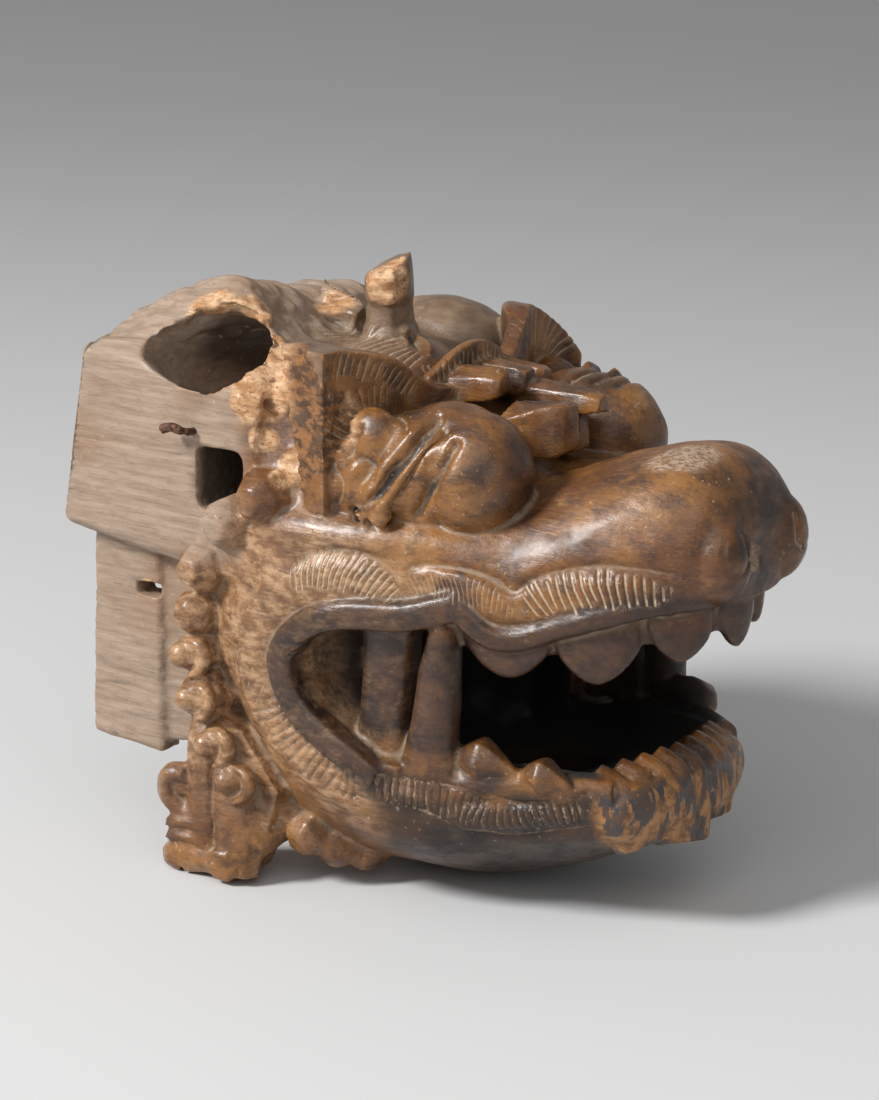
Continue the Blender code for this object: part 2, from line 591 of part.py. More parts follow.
def mouth_cutter(collection):
    """The inside of the mouth, and the pocket behind each row of tall teeth."""
    bm = bmesh.new()
    hollow = {
        -108: [(0, 130), (14, 129), (20, 110), (20, 68), (14, 64), (0, 64)],
        -92: [(0, 138), (24, 137), (32, 118), (33, 68), (26, 62), (0, 62)],
        -75: [(0, 142), (30, 141), (41, 122), (40, 68), (32, 58), (0, 56)],
        -50: [(0, 140), (34, 139), (48, 120), (43, 66), (36, 50), (0, 48)],
        -30: [(0, 138), (36, 137), (52, 118), (46, 64), (38, 42), (0, 40)],
        -5: [(0, 134), (34, 132), (42, 112), (42, 70), (36, 44), (0, 40)],
        14: [(0, 122), (24, 118), (34, 100), (34, 74), (26, 50), (0, 46)],
        22: [(0, 108), (12, 106), (18, 94), (18, 78), (12, 62), (0, 60)],
    }
    loft(bm, hollow)
    mouth = object_from(bm, "mouth_cutter", collection)
    bm = bmesh.new()
    for side in (-1, 1):
        outline = [
            (-40, 60), (-14, 60), (4, 62), (15, 66), (27, 76), (36, 90), (36, 99),
            (31, 107), (20, 114), (6, 116), (-12, 118), (-40, 118),
        ]
        deep = [(50, 0.75), (62, 0.92), (76, 1.0), (96, 1.15)]
        rings = []
        for x, grow in deep:
            rings.append([(side * x, -8 + (y + 8) * grow, 90 + (z - 90) * grow) for y, z in outline])
        skin(bm, rings)
    pockets = object_from(bm, "pocket_cutter", collection)
    return helper(mouth), helper(pockets)


def hole_cutters(collection):
    """Sockets, mortises, nostrils, small holes and the hollow open at the back."""
    sockets = bmesh.new()
    squares = bmesh.new()
    for side in (-1, 1):
        into = Vector((-0.80 * side, -0.12, -0.59)).normalized()
        across = Vector((0.0, 0.98, -0.2)).cross(into).normalized()
        fore = into.cross(across).normalized()
        centre = Vector((side * 62, 92, 209))
        rings = []
        for depth, grow in ((-30, 1.0), (6, 1.0), (20, 0.92), (SOCKET_DEPTH, 0.7)):
            ring = []
            for i in range(16):
                turn = 2 * math.pi * i / 16
                a = SOCKET_LONG * math.cos(turn) * (1.0 if math.cos(turn) > 0 else 0.85)
                b = SOCKET_SHORT * math.sin(turn) * (1 - 0.28 * math.cos(turn) * side * -1)
                ring.append(centre + into * depth + fore * (a * grow) + across * (b * grow))
            rings.append(ring)
        skin(sockets, rings)
        half = MORTISE_SIDE / 2
        box = Matrix.Translation((side * (BLOCK_HALF + 20 - MORTISE_DEPTH / 2), 78, 160))
        size = Matrix.Diagonal((MORTISE_DEPTH + 40, 2 * half, 2 * half * 1.08, 1))
        bmesh.ops.create_cube(squares, size=1, matrix=box @ size)
        slot = Matrix.Translation((side * PANEL_FACE, 124, 106)) @ Matrix.Diagonal((50, 11, 6, 1))
        bmesh.ops.create_cube(squares, size=1, matrix=slot)
    plate(
        squares,
        [(58, 58), (58, 112), (66, 120), (170, 120), (170, 20), (117.5, 20), (117.5, 56)],
        -HOLLOW_HALF,
        HOLLOW_HALF,
    )
    bore = Matrix.Translation((-72, 90.3, 178.3)) @ Matrix.Rotation(math.pi / 2, 4, "Y")
    bmesh.ops.create_cone(
        squares, cap_ends=True, segments=10, radius1=NAIL_HOLE, radius2=NAIL_HOLE, depth=22, matrix=bore
    )
    first = helper(object_from(sockets, "socket_cutter", collection))
    return first, helper(object_from(squares, "square_cutter", collection))


def flatten(obj):
    """Saws the back of the block to its sloping plane and levels the underside."""
    _, long, tall = stretch() * MM
    for vertex in obj.data.vertices:
        z = vertex.co.z / tall
        if z > 130:
            vertex.co.y = min(vertex.co.y, (BACK_FOOT - (z - 135.3) * BACK_LEAN) * long)
        vertex.co.z = max(vertex.co.z, 0.0)


def level(obj):
    """Sets the points that nearly touch the floor down on it."""
    for vertex in obj.data.vertices:
        if vertex.co.z < LEVEL_UNDER * MM:
            vertex.co.z = 0.0


def build_head(collection, cutters):
    bm = bmesh.new()
    loft(bm, SNOUT)
    loft(bm, JAW)
    loft(bm, JOWL)
    head = object_from(bm, "barong_head", collection)
    remesh(head, FORM_VOXEL)
    for cutter in mouth_cutter(cutters):
        cut(head, cutter)
    bm = bmesh.new()
    loft(bm, BLOCK, sag=ROOF_SAG, widest=BLOCK_HALF)
    add_nose(bm)
    add_teeth(bm)
    add_molars(bm)
    add_forehead(bm)
    add_beard(bm)
    for side in (-1, 1):
        add_eye(bm, side)
        add_mouth_side(bm, side)
        add_brow(bm, side)
        add_collar(bm, side)
        add_panel(bm, side)
    bmesh.ops.scale(bm, vec=stretch() * MM, verts=bm.verts)
    bm.from_mesh(head.data)
    bm.to_mesh(head.data)
    bm.free()
    remesh(head, WHOLE_VOXEL)
    flatten(head)
    thin_out(head, MOST_TRIANGLES)
    level(head)
    for cutter in hole_cutters(cutters):
        cut(head, cutter)
    return head


def build_nail(collection):
    """A short iron nail, bent over, as a round bar with a flattened head."""
    line = bpy.data.curves.new("nail", "CURVE")
    line.dimensions = "3D"
    line.bevel_depth = NAIL_RADIUS * MM
    line.bevel_resolution = 2
    line.resolution_u = 4
    line.use_fill_caps = True
    points = line.splines.new("POLY")
    smooth = spaced(NAIL, 9)
    points.points.add(len(smooth) - 1)
    for i, (point, place) in enumerate(zip(points.points, smooth)):
        point.co = (*(place * stretch() * MM), 1)
        point.radius = 1.0 if i < len(smooth) - 2 else 1.7
    nail = bpy.data.objects.new("bent_nail", line)
    collection.objects.link(nail)
    graph = bpy.context.evaluated_depsgraph_get()
    mesh = bpy.data.meshes.new_from_object(nail.evaluated_get(graph))
    bpy.data.objects.remove(nail)
    bm = bmesh.new()
    bm.from_mesh(mesh)
    bmesh.ops.remove_doubles(bm, verts=bm.verts, dist=1e-6)
    bmesh.ops.recalc_face_normals(bm, faces=bm.faces)
    bm.to_mesh(mesh)
    bm.free()
    made = bpy.data.objects.new("bent_nail", mesh)
    collection.objects.link(made)
    for polygon in mesh.polygons:
        polygon.use_smooth = True
    return made


def centre(objects):
    """Moves the objects so that the middle of the floor of their common box is the origin."""
    corners = np.array([v.co for obj in objects for v in obj.data.vertices])
    low, high = corners.min(axis=0), corners.max(axis=0)
    shift = Matrix.Translation((-(low[0] + high[0]) / 2, -(low[1] + high[1]) / 2, -low[2]))
    for obj in objects:
        obj.data.transform(shift)
    return shift


def main():
    for obj in list(bpy.data.objects):
        bpy.data.objects.remove(obj)
    model = new_collection("barong_mask")
    cutters = new_collection("cutters")
    head = build_head(model, cutters)
    nail = build_nail(model)
    shift = centre([head, nail])
    for obj in cutters.objects:
        obj.data.transform(shift)
    head.data.materials.clear()
    head.data.materials.append(material("old carved wood", (0.20, 0.115, 0.055), 0.45))
    nail.data.materials.append(material("rusty iron", (0.07, 0.045, 0.035), 0.75, 0.6))
    for polygon in head.data.polygons:
        polygon.use_smooth = False
    print("shift in mm", [round(1000 * v, 3) for v in shift.translation])


main()
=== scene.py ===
# %% [markdown]
# # A carved barong head
# This head was cut from one block of hard wood, rubbed brown over many years and then broken
# at the brow and the crest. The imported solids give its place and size. This lesson carves the
# same head again, much finer, and finishes it: knife cuts, cracks, breaks, dust and polish.

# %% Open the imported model
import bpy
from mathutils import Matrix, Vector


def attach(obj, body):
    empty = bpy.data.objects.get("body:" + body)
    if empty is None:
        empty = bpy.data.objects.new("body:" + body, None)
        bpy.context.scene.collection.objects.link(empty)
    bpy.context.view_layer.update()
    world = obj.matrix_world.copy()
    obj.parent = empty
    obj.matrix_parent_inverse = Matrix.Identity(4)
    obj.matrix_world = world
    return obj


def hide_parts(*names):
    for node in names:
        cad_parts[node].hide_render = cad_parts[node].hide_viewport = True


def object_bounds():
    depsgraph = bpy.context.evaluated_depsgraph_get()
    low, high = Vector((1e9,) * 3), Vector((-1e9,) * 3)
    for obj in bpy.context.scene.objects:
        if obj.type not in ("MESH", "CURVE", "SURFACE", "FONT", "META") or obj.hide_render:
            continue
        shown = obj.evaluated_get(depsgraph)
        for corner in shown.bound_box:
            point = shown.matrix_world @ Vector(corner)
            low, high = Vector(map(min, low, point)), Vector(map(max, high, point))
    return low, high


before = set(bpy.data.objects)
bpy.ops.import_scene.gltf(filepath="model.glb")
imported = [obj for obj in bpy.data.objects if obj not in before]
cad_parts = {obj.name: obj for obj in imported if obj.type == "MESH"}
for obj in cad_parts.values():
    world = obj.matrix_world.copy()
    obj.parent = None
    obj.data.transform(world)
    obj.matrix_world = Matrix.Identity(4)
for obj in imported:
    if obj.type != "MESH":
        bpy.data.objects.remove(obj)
CAD_BOX = [list(corner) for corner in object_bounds()]

import math

import bmesh
import bpy
import numpy as np
from mathutils import Matrix, Vector

print("packed box in mm", [[round(1000 * v, 1) for v in corner] for corner in CAD_BOX])

# %% [markdown]
# ## Sizes
# The carving is worked out in millimetres in its own frame: front is -Y, up is +Z, the floor is
# z = 0 and the middle plane is x = 0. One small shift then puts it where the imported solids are.
# The three voxel sizes say how fine the carving is at each step.

# %% Sizes
MM = 0.001
SHIFT = np.array([-0.008, -15.945, 0.0])
FORM_VOXEL, PLATE_VOXEL, FINE_VOXEL = 1.8, 1.2, 1.0
MOST_TRIANGLES = 196000
random = np.random.default_rng(7)
print("the finest voxel is", FINE_VOXEL, "mm")


# %% [markdown]
# ## Smooth lines
# A carver follows long easy curves. Each one here is given by a few points, and cubic pieces
# between them make it smooth, so a form can be changed by moving one point.

# %% Smooth lines
def between(at, values, u):
    """Values at u on the curve through the given ones: on each stretch, a cubic that meets both
    end values with the slopes found from their neighbours."""
    at, values = np.asarray(at, float), np.asarray(values, float)
    slope = np.gradient(values, at, axis=0)
    k = np.clip(np.searchsorted(at, u, side="right") - 1, 0, len(at) - 2)
    step = at[k + 1] - at[k]
    shape = (-1,) + (1,) * (values.ndim - 1)
    s, step = ((u - at[k]) / step).reshape(shape), step.reshape(shape)
    first = (1 + 2 * s) * (1 - s) ** 2 * values[k] + s * (1 - s) ** 2 * step * slope[k]
    return first + s * s * (3 - 2 * s) * values[k + 1] - s * s * (1 - s) * step * slope[k + 1]


def along(points):
    """Distance along a line at each of its points: the running sum of the steps' lengths."""
    steps = np.linalg.norm(np.diff(np.asarray(points, float), axis=0), axis=1)
    return np.concatenate([[0.0], np.cumsum(steps)])


def spaced(points, count):
    """That many points, evenly spaced, on the smooth line through the given ones."""
    at = along(points)
    return between(at, points, np.linspace(0, at[-1], count))


def sided(points, side):
    """The same points with x multiplied by side, which is -1 or 1."""
    return np.asarray(points, float) * (side, 1, 1)


print("a test line of 30 mm comes out as", round(along(spaced([(0, 0, 0), (30, 0, 0)], 9))[-1], 3))


# %% [markdown]
# ## Closed skins
# Every form is a grid of points: rings placed one after another, with squares between them and
# a lid on the first ring and the last. A tube, an egg, a peg, a tooth and the whole snout are all
# this one kind of surface, and only the rule that places the rings differs.

# %% Closed skins
def closed(rings):
    """Rings (row, point, xyz) as one closed skin: square (i, j) joins points j and j + 1 of ring
    i with the same two of ring i + 1, and each end ring is a lid."""
    rings = np.asarray(rings, float)
    m, n = rings.shape[:2]
    at = np.arange(m * n).reshape(m, n)
    after = np.roll(at, -1, axis=1)
    squares = np.stack([at[:-1], after[:-1], after[1:], at[1:]], axis=-1).reshape(-1, 4)
    return rings.reshape(-1, 3), squares.tolist() + [at[0, ::-1].tolist(), at[-1].tolist()]


def loft(sections, gap=2.5, half_points=44, sag=0.0, widest=100.0):
    """Half profiles (x, z) standing at places along Y, mirrored in x = 0. Both the places and
    the profiles are blended smoothly. The top of the +X side sinks by sag times x, and the sides
    are planed off at x = widest."""
    places = np.array(sorted(sections), float)
    halves = np.array([spaced(sections[y], half_points) for y in sorted(sections)])
    ys = np.linspace(places[0], places[-1], max(3, int((places[-1] - places[0]) / gap) + 1))
    half = between(places, halves, ys)
    half[:, [0, -1], 0] = 0.0
    half[..., 0] = np.maximum(half[..., 0], 0.0)
    ring = np.concatenate([half, half[:, -2:0:-1] * (-1, 1)], axis=1)
    low, high = half[..., 1].min(1)[:, None], half[..., 1].max(1)[:, None]
    drop = sag * np.maximum(ring[..., 0], 0) * np.clip((ring[..., 1] - high + 40) / 30, 0, 1)
    z = np.maximum(ring[..., 1] - drop, low)
    x = np.clip(ring[..., 0], -widest, widest)
    return closed(np.stack([x, np.broadcast_to(ys[:, None], x.shape), z], axis=-1))


def sweep(path, wide, deep, out, points=18, gap=1.5, square=1.0):
    """A tube along a path. Its section is the closed curve (wide cos t, deep sin t), with deep
    measured along the direction out. A square under 1 raises the cosine and sine to that power,
    which flattens the section's sides."""
    path = np.asarray(path, float)
    at = along(path)
    u = np.linspace(0, at[-1], max(5, int(at[-1] / gap)))
    line = between(at, path, u)
    wide = np.interp(u, at, np.broadcast_to(np.asarray(wide, float), at.shape))
    deep = np.interp(u, at, np.broadcast_to(np.asarray(deep, float), at.shape))
    tangent = np.gradient(line, axis=0)
    tangent /= np.linalg.norm(tangent, axis=1)[:, None]
    out = np.asarray(out, float)
    out = between(at, out, u) if out.ndim == 2 else np.broadcast_to(out, line.shape)
    out = out - (out * tangent).sum(1)[:, None] * tangent
    out = out / np.linalg.norm(out, axis=1)[:, None]
    across = np.cross(tangent, out)
    turn = np.linspace(0, 2 * math.pi, points, endpoint=False)
    c, s = np.cos(turn), np.sin(turn)
    c, s = np.sign(c) * np.abs(c) ** square, np.sign(s) * np.abs(s) ** square
    rings = (
        line[:, None]
        + (wide[:, None] * c)[..., None] * across[:, None]
        + (deep[:, None] * s)[..., None] * out[:, None]
    )
    return closed(rings)


def wall(rows, side=1, gap=1.5):
    """An upright plate. Each row gives x, y, low z, high z, and the thickness low and high,
    measured backwards from the line; the rows are blended smoothly."""
    rows = np.asarray(rows, float) * (side, 1, 1, 1, 1, 1)
    at = along(rows[:, :2])
    rows = between(at, rows, np.linspace(0, at[-1], max(6, int(at[-1] / gap))))
    plan = np.gradient(rows[:, :2], axis=0)
    plan /= np.linalg.norm(plan, axis=1)[:, None]
    back = np.stack([-plan[:, 1], plan[:, 0]], axis=1)
    back *= np.where(back[:, 1] < 0, -1.0, 1.0)[:, None]
    x, y, low, high, base, top = rows.T
    zero = np.zeros_like(x)
    corners = [(zero, low), (base, low), (top, high), (zero, high)]
    ring = [np.stack([x + back[:, 0] * t, y + back[:, 1] * t, z], axis=-1) for t, z in corners]
    return closed(np.stack(ring, axis=1))


def egg(centre, radii, turn=(0, 0, 0), rings=18, points=28):
    """An egg: (cos v cos u, cos v sin u, sin v) times the radii, turned about X, Y and Z."""
    v = np.linspace(-0.49 * math.pi, 0.49 * math.pi, rings)[:, None]
    u = np.linspace(0, 2 * math.pi, points, endpoint=False)[None]
    ball = np.stack([np.cos(v) * np.cos(u), np.cos(v) * np.sin(u), np.sin(v) + 0 * u], axis=-1)
    spin = Matrix.Identity(3)
    for angle, axis in zip(turn, "XYZ"):
        spin = spin @ Matrix.Rotation(math.radians(angle), 3, axis)
    return closed((ball * radii) @ np.array(spin).T + centre)


def peg(start, end, radius, end_radius, sides=6, turn=0.0, flat=1.0):
    """A peg with flat sides from start to end. flat squashes its section in height."""
    start, end = Vector(start), Vector(end)
    spin = np.array((end - start).to_track_quat("X", "Z").to_matrix())
    u = np.linspace(0, 2 * math.pi, sides, endpoint=False) + math.radians(turn)
    ring = np.stack([0 * u, np.cos(u), flat * np.sin(u)], axis=-1) @ spin.T
    return closed([ring * radius + np.array(start), ring * end_radius + np.array(end)])


def knob(start, end, radius, sides=6, turn=0.0):
    """A faceted knob from start to end: its flat-sided ring swells from 0.92 to 1.08 of the
    radius two thirds of the way out, and a bevel then takes it in to 0.55."""
    start, end = Vector(start), Vector(end)
    spin = np.array((end - start).to_track_quat("X", "Z").to_matrix())
    u = np.linspace(0, 2 * math.pi, sides, endpoint=False) + math.radians(turn)
    ring = np.stack([0 * u, np.cos(u), np.sin(u)], axis=-1) @ spin.T * radius
    start, end = np.array(start), np.array(end)
    steps = ((0, 0.92), (0.62, 1.08), (0.8, 1.0), (1, 0.55))
    return closed([start + (end - start) * t + ring * grow for t, grow in steps])


def chip(back, front, bevel=0.8, bevel_from=0.86):
    """A cut block between two faces of four corners (x, z) at y = back[0] and y = front[0]. Its
    front edge is bevelled: past the share bevel_from of its length, the section shrinks towards
    its middle, down to the share bevel."""
    faces = [np.insert(np.array(corners, float), 1, y, axis=1) for y, *corners in (back, front)]
    near = faces[0] + (faces[1] - faces[0]) * bevel_from
    middle = faces[1].mean(0)
    return closed([faces[0], near, middle + (faces[1] - middle) * bevel])


def plate(outline, low, high):
    """An outline (y, z) pushed out from x = low to x = high."""
    outline = np.asarray(outline, float)
    return closed([np.insert(outline, 0, x, axis=1) for x in (low, high)])


print("an egg of 10 mm radii has", len(egg((0, 0, 0), (10, 10, 10))[0]), "points")


# %% [markdown]
# ## From skins to one skin
# Overlapping closed skins become one surface by measuring the distance to them on a fine grid of
# cubes, which is Blender's voxel remesh. It rounds each inner corner a little, as a knife does.
# Mouth, sockets and mortises are taken out with a Boolean before the last and finest remesh.

# %% From skins to one skin
def piece(name, skins, extra=None):
    """One mesh object, in metres, from skins in carving millimetres."""
    made = bmesh.new()
    for points, faces in skins:
        mesh = bpy.data.meshes.new(name)
        mesh.from_pydata((points * MM).tolist(), [], faces)
        made.from_mesh(mesh)
        bpy.data.meshes.remove(mesh)
    bmesh.ops.recalc_face_normals(made, faces=made.faces)
    if extra is not None:
        made.from_mesh(extra)
    mesh = bpy.data.meshes.new(name)
    made.to_mesh(mesh)
    made.free()
    obj = bpy.data.objects.new(name, mesh)
    bpy.context.scene.collection.objects.link(obj)
    return obj


def finished(obj, kind, **settings):
    """Adds one modifier, applies it and returns the count of points left."""
    step = obj.modifiers.new(kind.lower(), kind)
    for key, value in settings.items():
        setattr(step, key, value)
    graph = bpy.context.evaluated_depsgraph_get()
    mesh = bpy.data.meshes.new_from_object(obj.evaluated_get(graph))
    obj.modifiers.clear()
    old, obj.data = obj.data, mesh
    bpy.data.meshes.remove(old)
    return len(mesh.vertices)


def take_out(obj, cutter):
    """Cuts one object out of another and drops the cutter."""
    count = finished(obj, "BOOLEAN", operation="DIFFERENCE", solver="EXACT", object=cutter)
    print("cut", cutter.name, "leaves", count, "points")
    bpy.data.objects.remove(cutter)


# %% [markdown]
# ## The big masses
# Snout with brow and skull, lower jaw, jowl with neck, and the sawn block behind are lofts: a
# few half profiles from the top middle down to the bottom middle.

# %% The big masses
SNOUT = {
    -124: [(0, 163), (8, 161), (13, 153), (12, 144), (0, 140)],
    -121.5: [(0, 173), (14, 169), (23, 158), (24, 146), (18, 136), (0, 133)],
    -116: [(0, 180.5), (18, 175.5), (29, 165), (33, 152), (31, 140), (21, 133), (0, 131)],
    -106: [(0, 186), (18, 182.5), (32, 171), (39, 158), (40, 147), (37, 137), (25, 134), (0, 133)],
    -95: [(0, 186.5), (20, 183), (34, 174), (41, 162), (45, 150), (44, 138), (40, 133), (0, 131)],
    -78: [(0, 183), (20, 180), (37, 171), (46, 160), (51, 148), (51, 137), (48, 128), (0, 126)],
    -60: [(0, 177), (20, 174), (39, 167), (50, 157), (57, 145), (58, 132), (55, 120), (0, 118)],
    -45: [(0, 171), (22, 169), (42, 162), (55, 153), (61, 142), (62, 130), (60, 118), (0, 116)],
    -25: [(0, 170), (24, 169), (42, 164), (56, 156), (64, 148), (67, 138), (64, 119), (0, 116)],
    -5: [(0, 186), (25, 183), (44, 174), (57, 161), (66, 151), (72, 139), (70, 119), (0, 115)],
    20: [(0, 201), (25, 198), (46, 189), (58, 176), (66, 159), (75, 145), (78, 122), (0, 112)],
    45: [(0, 206), (25, 204), (46, 196), (60, 184), (68, 166), (76, 150), (79, 122), (0, 108)],
    70: [(0, 210), (28, 209), (52, 203), (66, 191), (71, 171), (74, 150), (74, 120), (0, 108)],
    100: [(0, 212), (28, 211), (52, 206), (67, 197), (71, 175), (71, 150), (66, 117), (0, 108)],
}
JAW = {
    -100: [(0, 58), (12, 58), (18, 54), (19, 48), (12, 42), (0, 40)],
    -94: [(0, 61), (24, 61), (35, 57), (38, 50), (33, 41), (20, 36), (0, 35)],
    -82: [(0, 63), (34, 63), (42, 59), (46, 50), (43, 41), (30, 32), (0, 28)],
    -60: [(0, 63), (42, 63), (50, 60), (54, 50), (52, 39), (38, 26), (20, 19), (0, 18)],
    -35: [(0, 61), (48, 61), (58, 58), (62, 50), (59, 37), (45, 22), (25, 11), (0, 9)],
    -15: [(0, 54), (54, 54), (65, 52), (69, 43), (66, 32), (51, 18), (28, 7), (0, 0)],
    8: [(0, 54), (60, 54), (72, 50), (75, 44), (71, 33), (55, 18), (30, 6.5), (0, -1)],
}
JOWL = {
    -8: [(0, 118), (58, 118), (70, 112), (72, 95), (72, 70), (71, 42), (67, 31), (52, 18),
         (28, 6.5), (0, 0)],
    8: [(0, 118), (62, 118), (74, 112), (76, 95), (76, 70), (75, 45), (71, 33), (55, 18),
        (30, 6.5), (0, 0)],
    28: [(0, 120), (66, 122), (77, 112), (79, 94), (79, 72), (76, 49), (71, 35), (54, 18),
         (30, 5), (0, 0)],
    45: [(0, 124), (68, 126), (78, 116), (80, 98), (79, 78), (76, 56), (69, 38), (50, 20), (0, 6)],
    60: [(0, 128), (66, 130), (77, 117), (79, 99), (78, 80), (73, 63), (63, 46), (46, 31), (0, 19)],
    73: [(0, 128), (60, 130), (73, 116), (75, 99), (73, 84), (67, 70), (57, 55), (42, 42), (0, 30)],
    84: [(0, 126), (56, 126), (67, 114), (69, 99), (67, 86), (61, 74), (51, 62), (37, 51), (0, 39)],
    91: [(0, 124), (50, 122), (58, 112), (60, 99), (59, 88), (55, 78), (48, 68), (36, 57), (0, 42)],
    116: [(0, 122), (50, 120), (57, 111), (58, 98), (58, 86), (55, 75), (48, 62), (36, 52), (0, 44)],
}
BLOCK = {
    60: [(0, 208), (28, 209), (48, 206), (66, 197), (71, 180), (71, 140), (66, 122), (0, 120)],
    72: [(0, 210), (28, 214), (47, 215), (62, 206), (72, 196), (72, 150), (70, 124), (0, 122)],
    86: [(0, 219), (26, 227), (42, 230), (58, 214), (72, 198), (72, 155), (72, 127), (0, 126)],
    104: [(0, 221), (25, 229), (40, 231), (58, 215), (73, 199), (73, 155), (73, 129), (0, 128)],
    126: [(0, 218), (25, 221), (41, 223), (58, 212), (73, 201), (73, 160), (73, 131), (0, 130)],
    142: [(0, 213), (25, 215), (40, 215), (57, 208), (73, 203), (73, 165), (73, 133), (0, 132)],
    160: [(0, 206), (25, 207), (40, 207), (57, 205), (73, 204), (73, 170), (73, 135), (0, 134)],
}
BLOCK_HALF = 72.0
ROOF_SAG = 0.38
masses = [loft(SNOUT), loft(JAW), loft(JOWL), loft(BLOCK, sag=ROOF_SAG, widest=BLOCK_HALF)]
print("masses:", [len(points) for points, faces in masses], "points")

# %% [markdown]
# ## The hollows
# The mouth is one deep hollow, open to each side between the rows of teeth and in a pocket at
# each corner. Behind are two oval sockets, two square mortises and the hollow for a neck.

# %% The hollows
MOUTH = {
    -108: [(0, 130), (14, 129), (20, 110), (20, 68), (14, 64), (0, 64)],
    -92: [(0, 138), (24, 137), (32, 118), (33, 68), (26, 62), (0, 62)],
    -75: [(0, 142), (30, 141), (41, 122), (40, 68), (32, 58), (0, 56)],
    -50: [(0, 140), (34, 139), (48, 120), (43, 66), (36, 50), (0, 48)],
    -30: [(0, 138), (36, 137), (52, 118), (46, 64), (38, 42), (0, 40)],
    -5: [(0, 134), (34, 132), (42, 112), (42, 70), (36, 44), (0, 40)],
    14: [(0, 122), (24, 118), (34, 100), (34, 74), (26, 50), (0, 46)],
    22: [(0, 108), (12, 106), (18, 94), (18, 78), (12, 62), (0, 60)],
}
POCKET = np.array([
    (-40, 60), (-14, 60), (4, 62), (15, 66), (27, 76), (36, 90), (36, 99),
    (31, 107), (20, 114), (6, 116), (-12, 118), (-40, 118),
])
SOCKET_LONG, SOCKET_SHORT, SOCKET_DEPTH = 28.0, 18.0, 54.0
MORTISE_SIDE, MORTISE_DEPTH = 23.0, 30.0
HOLLOW_HALF = 49.0
PANEL_FACE, PANEL_THICK = 62.0, 12.0


def pocket(side):
    """The outline of the mouth corner, pushed outwards and growing as it goes."""
    rings = []
    for x, grow in ((50, 0.75), (62, 0.92), (76, 1.0), (96, 1.15)):
        grown = (POCKET - (-8, 90)) * grow + (-8, 90)
        rings.append(np.insert(grown, 0, side * x, axis=1))
    return closed(rings)


def socket(side):
    """An oval, pointed a little at one end, that narrows as it goes down into the block."""
    into = np.array(Vector((-0.80 * side, -0.12, -0.59)).normalized())
    across = np.cross((0.0, 0.98, -0.2), into)
    across /= np.linalg.norm(across)
    fore = np.cross(into, across)
    turn = np.linspace(0, 2 * math.pi, 40, endpoint=False)
    long = SOCKET_LONG * np.cos(turn) * np.where(np.cos(turn) > 0, 1.0, 0.85)
    short = SOCKET_SHORT * np.sin(turn) * (1 + 0.28 * np.cos(turn) * side)
    oval = long[:, None] * fore + short[:, None] * across
    centre = np.array((side * 62.0, 92.0, 209.0))
    depths = ((-30, 1.0), (6, 1.0), (20, 0.92), (SOCKET_DEPTH, 0.7))
    return closed([centre + into * depth + oval * grow for depth, grow in depths])


def rounded(y, z, half_y, half_z, corner, steps=5):
    """A rectangle in the YZ plane with round corners, as points (y, z)."""
    turn = np.linspace(0, math.pi / 2, steps)
    arc = np.stack([np.cos(turn), np.sin(turn)], axis=1) * corner
    out = []
    for a, b, s, t in ((1, 1, 1, 1), (-1, 1, -1, 1), (-1, -1, -1, -1), (1, -1, 1, -1)):
        quarter = arc * (s, t) + (a * (half_y - corner), b * (half_z - corner))
        out.append(quarter if a * b > 0 else quarter[::-1])
    return np.concatenate(out) + (y, z)


def mortise(side):
    """A blind square hole with slightly rounded corners."""
    outline = rounded(78, 160, MORTISE_SIDE / 2, MORTISE_SIDE * 0.54, 3.0)
    inner, outer = side * (BLOCK_HALF - MORTISE_DEPTH), side * (BLOCK_HALF + 20)
    return plate(outline, min(inner, outer), max(inner, outer))


neck = plate(
    [(58, 58), (58, 112), (66, 120), (170, 120), (170, 20), (117.5, 20), (117.5, 56)],
    -HOLLOW_HALF, HOLLOW_HALF,
)
cutters = [
    piece("mouth_cutter", [loft(MOUTH)]),
    piece("pocket_cutter", [pocket(-1), pocket(1)]),
    piece("socket_cutter", [socket(-1), socket(1)]),
    piece("square_cutter", [mortise(-1), mortise(1), neck]),
]
rough = piece("rough_head", masses)
print("rough head:", finished(rough, "REMESH", mode="VOXEL", voxel_size=FORM_VOXEL * MM), "points")
for cutter in cutters:
    take_out(rough, cutter)

# %% [markdown]
# ## Mouth, lips and teeth
# The lips and the raised bands beside them are tubes laid along lines on the surface. The
# pointed upper teeth are one strip, as they are carved from one ledge of wood, and the tall
# teeth are tapered posts that join the two jaws.

# %% Mouth, lips and teeth
RIM = [
    (64, -30, 128), (69.5, -11, 122), (74, 9, 120), (76, 23, 116.5), (77.5, 36, 108),
    (78, 42, 99), (78, 41.5, 90), (77, 35, 78), (76.3, 24.5, 70), (75, 13, 63), (72.5, 2, 55),
]
LOWER_LIP = [
    (73, 16, 58), (71, 4, 51), (66.5, -8, 48), (62.5, -22, 52), (57.5, -38, 56.5),
    (53, -54, 58), (47, -70, 58), (40, -84, 57),
]
UPPER_LIP = [
    (65, -27, 131), (64, -35, 123), (61.5, -43, 117.5), (57.5, -56, 118.5), (53.5, -68, 123.5),
    (49, -83, 129), (42.5, -94, 133), (31, -105.5, 135.5), (18, -113.5, 136), (0, -118, 136),
]
MOUSTACHE = [
    (67, -14, 134), (65, -27, 137.5), (64, -37, 134), (61.5, -47, 129.5), (58, -57, 131.5),
    (54.5, -69, 135.5), (51, -81, 138.5), (46, -92, 140.5), (39, -101, 141), (32, -107, 141),
]
MOUSTACHE_WIDE = [3, 4.5, 6, 6.5, 7, 7, 6.5, 5.5, 4, 2]
